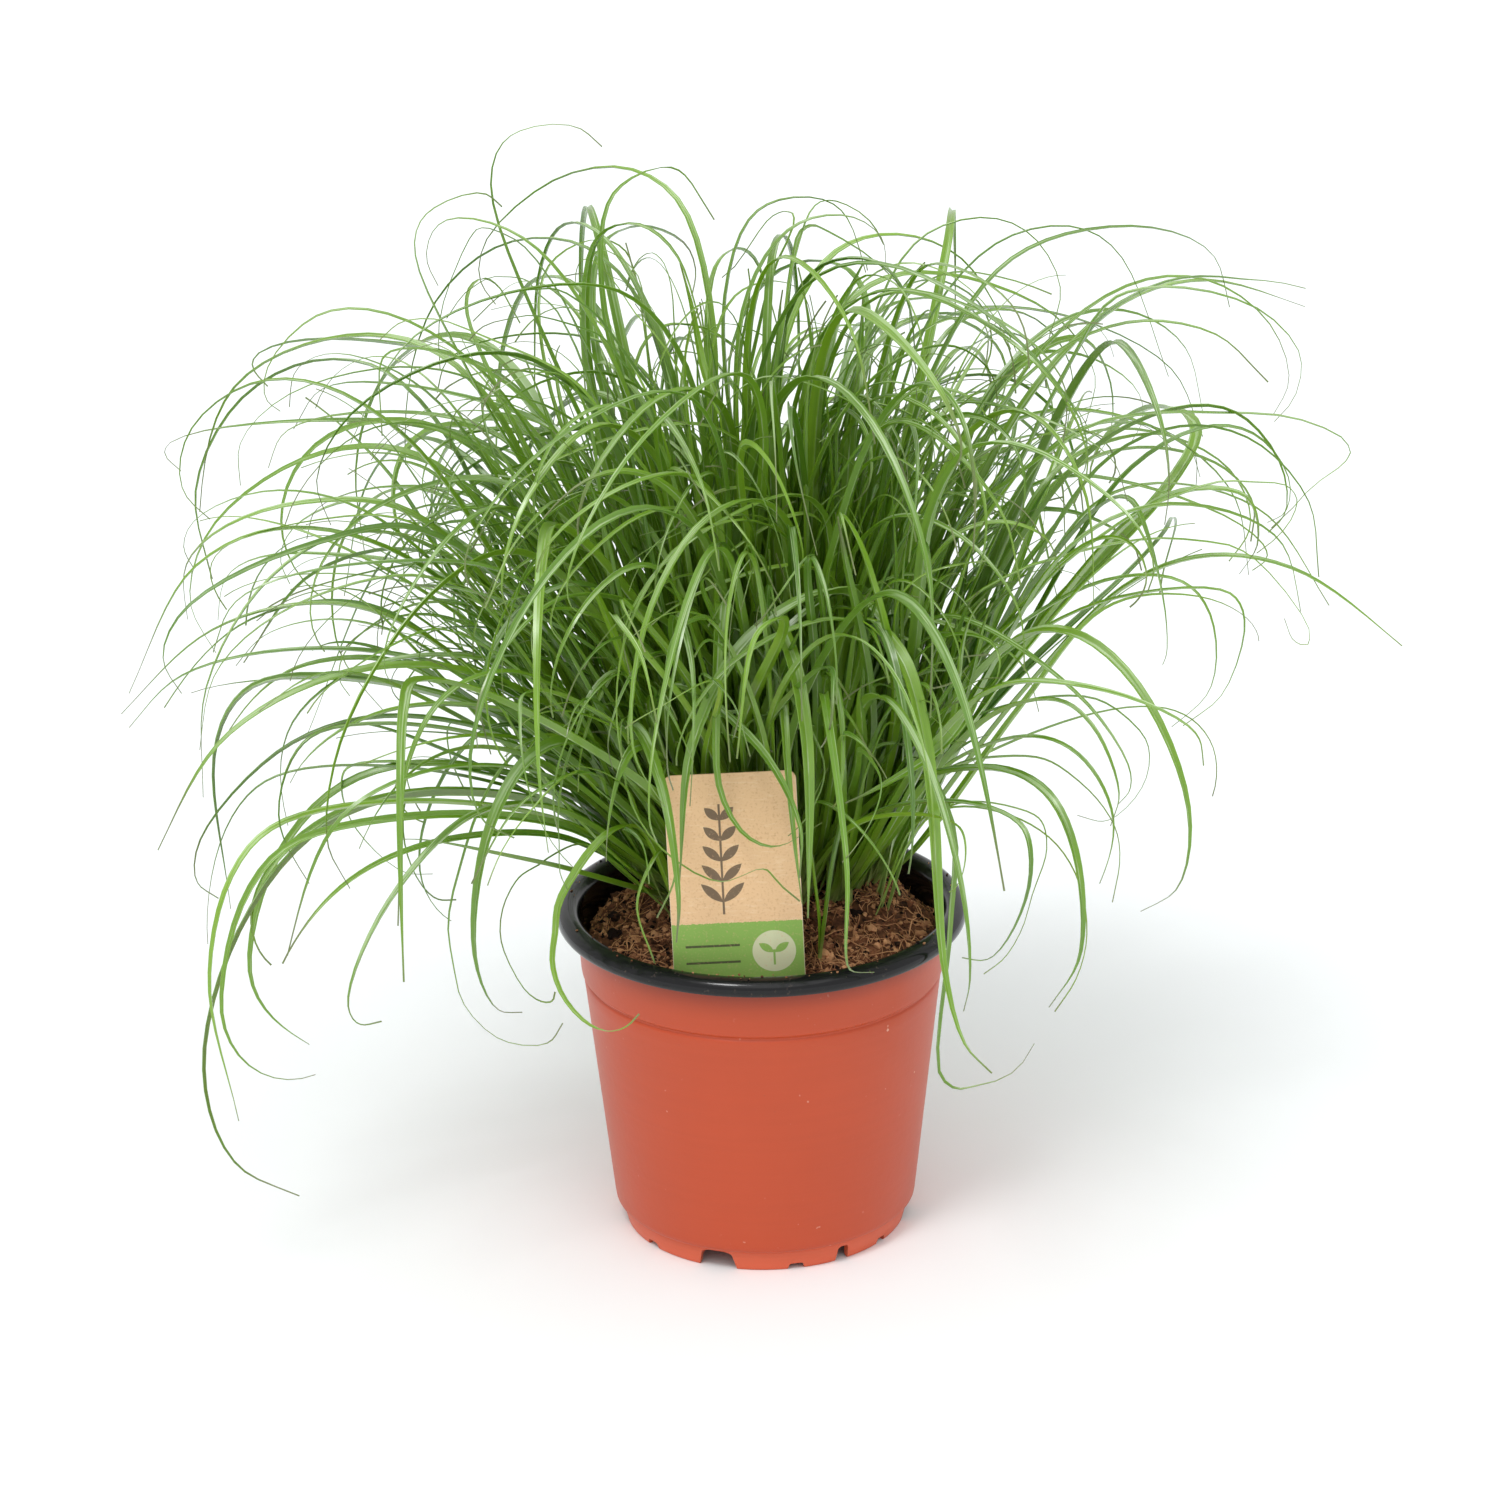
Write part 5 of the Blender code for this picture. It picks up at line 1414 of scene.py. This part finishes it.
def companion_line(foot, line, upright, draw):
    """Another line from beside the same foot, turned aside: upright and short, or arching."""
    turn = draw.gauss(0, 0.5)
    length = draw.uniform(0.46, 0.7) if upright else draw.choice((1, 0.92, 0.84, 0.76, 0.68, 0.6))
    inward = draw.uniform(0.66, 1.08) / (1 if upright else length**0.6)
    lower = draw.uniform(0.86, 1.08) if upright else draw.uniform(0.78, 1.04)
    cos = math.cos(turn)
    sin = math.sin(turn)
    offset = line - foot
    x, y, z = offset.T
    flat = np.stack([x * cos - y * sin, x * sin + y * cos], 1)
    beside = np.array([draw.gauss(0, 1.5), draw.gauss(0, 1.5), 0]) * MM
    moved = np.column_stack([flat * inward, z * lower]) + foot + beside
    return evenly(moved[: int(len(moved) * length)], LINE_STEPS)


def blade_points(pattern, line, width, habit):
    """The pattern blade's points laid along a line, with each point's share of the length."""
    line = evenly(line, BLADE_STEPS, TURNING_WEIGHT)
    shares = np.append(0, np.linalg.norm(np.diff(line, axis=0), axis=1).cumsum())
    shares /= shares[-1]
    onward = unit(np.gradient(line, axis=0))
    side = level_side(line)
    side = unit(side - onward * (onward @ side)[:, None])
    rolls = habit.roll * (1 - shares) * 2 + habit.twist * shares**1.5
    side = turned_about(side, onward, rolls)
    up = np.cross(side, onward)
    grown = np.clip(shares / GROWN_SHARE, 0, 1)
    grown = ROOT_WIDTH_SHARE + (1 - ROOT_WIDTH_SHARE) * grown * grown * (3 - 2 * grown)
    widths = np.maximum(width * grown * (1 - shares**habit.taper), HAIR_WIDTH)
    steps = np.rint(pattern[:, 1] * BLADE_STEPS).astype(int)
    places = (
        line[steps]
        + side[steps] * (pattern[:, 0] * widths[steps])[:, None]
        + up[steps] * (pattern[:, 2] * widths[steps])[:, None]
    )
    return places, shares[steps]


def own_blades(guides, draw):
    """A fine blade along each of the solid's."""
    blades = []
    for points, width in guides:
        line = smooth_line(points)
        for _ in range(OWN_TRIES):
            habit = Habit(draw, OWN_HABIT)
            bent = habit.bent(line)
            if not (hits_pot(bent) or leaves_box(bent)):
                break
        else:
            bent = line
        blades.append((bent, width * OWN_WIDTH_SHARE, habit))
    return blades


def companion_blades(foot, guides, count, draw):
    """Slimmer blades of the same shoot, beside and between those of the solid."""
    blades = []
    for _ in range(count * COMPANION_TRIES):
        if len(blades) >= count:
            break
        points, width = draw.choice(guides)
        upright = draw.random() < UPRIGHT_SHARE
        line = companion_line(foot, smooth_line(points), upright, draw)
        habit = Habit(draw, FREE_HABIT)
        if upright:
            habit.curl *= 0.3
            habit.taper *= 1.6
        bent = habit.bent(line)
        sticks_up = (bent @ (0, FRONT_SLOPE, 1)).max() > draw.uniform(*HIGHEST_COMPANIONS)
        if sticks_up or in_open_part(bent, draw):
            continue
        if hits_pot(bent) or hides_front(bent) or leaves_box(bent):
            continue
        slim = float(np.clip(width * draw.uniform(0.38, 0.88), *SLIM_WIDTHS))
        habit.tone *= min(1, slim / FULL_TONE_WIDTH)
        blades.append((bent, slim, habit))
    return blades


def traced_blades(given, foot, feet, draw):
    """The given blades that grow nearest to this shoot's foot."""
    blades = []
    for width, taper, points in given:
        start = np.array(points[0]) * MM
        if all(np.linalg.norm(foot - start) <= np.linalg.norm(other - start) for other in feet):
            habit = Habit(draw, OWN_HABIT)
            habit.taper = taper
            habit.age *= 0.5
            blades.append((smooth_line(np.array(points) * MM), width * MM, habit))
    return blades


def make_shoot(name, blades, pattern, finish):
    """One shoot's blades as a single piece."""
    points, corners = pattern
    laid = [blade_points(points, line, width, habit) for line, width, habit in blades]
    piece = mesh_from(name, *gathered([(places, corners) for places, _ in laid]))
    pairs = [np.stack([points[:, 0] + 0.5, shares], axis=1) for _, shares in laid]
    give_map(piece, "blade", np.concatenate(pairs))
    for value in ("tone", "age"):
        own = [getattr(habit, value) for _, _, habit in blades]
        give_values(piece, value, np.repeat(own, len(points)))
    piece.data.materials.append(finish)
    settle(piece, smooth=38)
    return piece


class SEDGE_OT_shoots(bpy.types.Operator):
    """Grows each shoot's blades along its solid"""

    bl_idname = "sedge.shoots"
    bl_label = "Grow shoots"

    def execute(self, context):
        settings = context.scene.sedge_leaf
        pattern = blade_pattern(settings)
        finish = leaf_finish(settings)
        draw = random.Random(settings.seed)
        outer_draw = random.Random(settings.seed + 1)
        names = sorted(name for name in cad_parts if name.startswith("shoot_"))
        if not names:
            raise RuntimeError("the frame holds no shoots")
        guides = {name: guides_of(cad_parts[name]) for name in names}
        feet = [foot for foot, _ in guides.values()]
        for name, (foot, lines) in guides.items():
            count = 0 if name == YOUNG_SHOOT else settings.companions
            blades = own_blades(lines, draw) + companion_blades(foot, lines, count, draw)
            blades += traced_blades(FRONT_BLADES, foot, feet, draw)
            blades += traced_blades(OUTER_BLADES, foot, feet, outer_draw)
            stand_for(make_shoot(name + "_blades", blades, pattern, finish), name)
        return {"FINISHED"}


class StageSettings(bpy.types.PropertyGroup):
    """Floor, lights and camera."""

    floor_size: length_setting("Floor size", "Side of the square floor", 16, 1)
    floor_colour: colour_setting("Floor colour", "Colour of the floor", (0.912, 0.942, 0.95))
    sky_strength: strength_setting(
        "Surround strength", "Strength of the even white light from all round", 0.8
    )
    key_strength: strength_setting(
        "Key strength", "Strength of the broad light from above the front", 0.7
    )
    sheen_strength: strength_setting(
        "Sheen strength", "Strength of the smaller light that draws the blades' sheen", 0.95
    )
    distance: length_setting(
        "Camera distance", "Distance from the camera to the point that it looks at", 1.5, 0.1
    )
    pitch: angle_setting("Camera pitch", "Angle by which the camera looks down", 21.5)
    roll: angle_setting("Camera roll", "Turn of the camera about its view", -0.81)
    lens: FloatProperty(
        name="Lens",
        description="Focal length on a 36 mm square sensor, in millimetres",
        default=123.5,
        min=10,
    )


def make_floor(settings):
    """A wide pale floor that fades into the surround."""
    floor = added(bpy.ops.mesh.primitive_plane_add, "floor", size=settings.floor_size)
    finish = Finish("pale floor", 0.9, {"Specular IOR Level": 0.1})
    finish.colour(settings.floor_colour)
    floor.data.materials.append(finish.material)


def add_sun(name, strength, turns, width):
    """A sun of a strength, turned about X and about Y and of an apparent width, in degrees."""
    turns = (*(math.radians(turn) for turn in turns), 0)
    lamp = added(bpy.ops.object.light_add, name, type="SUN", rotation=turns)
    lamp.data.energy = strength
    lamp.data.angle = math.radians(width)


def make_lights(scene, settings):
    """An even white surround, a broad key from above the front and a smaller sun for the sheen."""
    scene.world = bpy.data.worlds.new("white surround")
    scene.world.use_nodes = True
    background = scene.world.node_tree.nodes["Background"]
    background.inputs["Color"].default_value = (1, 1, 1, 1)
    background.inputs["Strength"].default_value = settings.sky_strength
    add_sun("key", settings.key_strength, *KEY_SUN)
    add_sun("sheen", settings.sheen_strength, *SHEEN_SUN)


def make_camera(scene, settings):
    """The camera at the photograph's angle, looking along +Y and down."""
    forward = Vector((0, math.cos(settings.pitch), -math.sin(settings.pitch)))
    right = Vector((1, 0, 0))
    up = right.cross(forward)
    across = right * math.cos(settings.roll) + up * math.sin(settings.roll)
    upward = up * math.cos(settings.roll) - right * math.sin(settings.roll)
    bpy.ops.object.camera_add(location=CAMERA_TARGET - forward * settings.distance)
    camera = bpy.context.object
    camera.name = "camera"
    camera.rotation_euler = Matrix((across, upward, -forward)).transposed().to_euler()
    camera.data.sensor_width = 36
    camera.data.lens = settings.lens
    scene.camera = camera


class SEDGE_OT_stage(bpy.types.Operator):
    """Sets up the floor, the lights and the camera"""

    bl_idname = "sedge.stage"
    bl_label = "Set stage"

    def execute(self, context):
        settings = context.scene.sedge_stage
        scene = context.scene
        make_floor(settings)
        make_lights(scene, settings)
        make_camera(scene, settings)
        scene.view_settings.view_transform = "Standard"
        return {"FINISHED"}


class SEDGE_PT_panel(bpy.types.Panel):
    """Lists the makers and the settings of the potted sedge."""

    bl_idname = "SEDGE_PT_panel"
    bl_label = "Potted sedge"
    bl_space_type = "VIEW_3D"
    bl_region_type = "UI"
    bl_category = "Potted sedge"

    def draw(self, context):
        for maker, group, name in MAKERS:
            box = self.layout.box()
            box.operator(maker.bl_idname)
            for setting in group.__annotations__:
                box.prop(getattr(context.scene, name), setting)


MAKERS = (
    (SEDGE_OT_pot, PotSettings, "sedge_pot"),
    (SEDGE_OT_soil, SoilSettings, "sedge_soil"),
    (SEDGE_OT_label, LabelSettings, "sedge_label"),
    (SEDGE_OT_shoots, LeafSettings, "sedge_leaf"),
    (SEDGE_OT_stage, StageSettings, "sedge_stage"),
)


def register():
    """Registers the settings, the makers and the panel."""
    for maker, group, name in MAKERS:
        bpy.utils.register_class(group)
        setattr(bpy.types.Scene, name, PointerProperty(type=group))
        bpy.utils.register_class(maker)
    bpy.utils.register_class(SEDGE_PT_panel)


def unregister():
    """Takes back what register does."""
    bpy.utils.unregister_class(SEDGE_PT_panel)
    for maker, group, name in MAKERS:
        bpy.utils.unregister_class(maker)
        delattr(bpy.types.Scene, name)
        bpy.utils.unregister_class(group)


def main():
    """Makes every piece and the stage."""
    register()
    bpy.ops.sedge.pot()
    bpy.ops.sedge.soil()
    bpy.ops.sedge.label()
    bpy.ops.sedge.shoots()
    bpy.ops.sedge.stage()


if __name__ == "__main__":
    main()
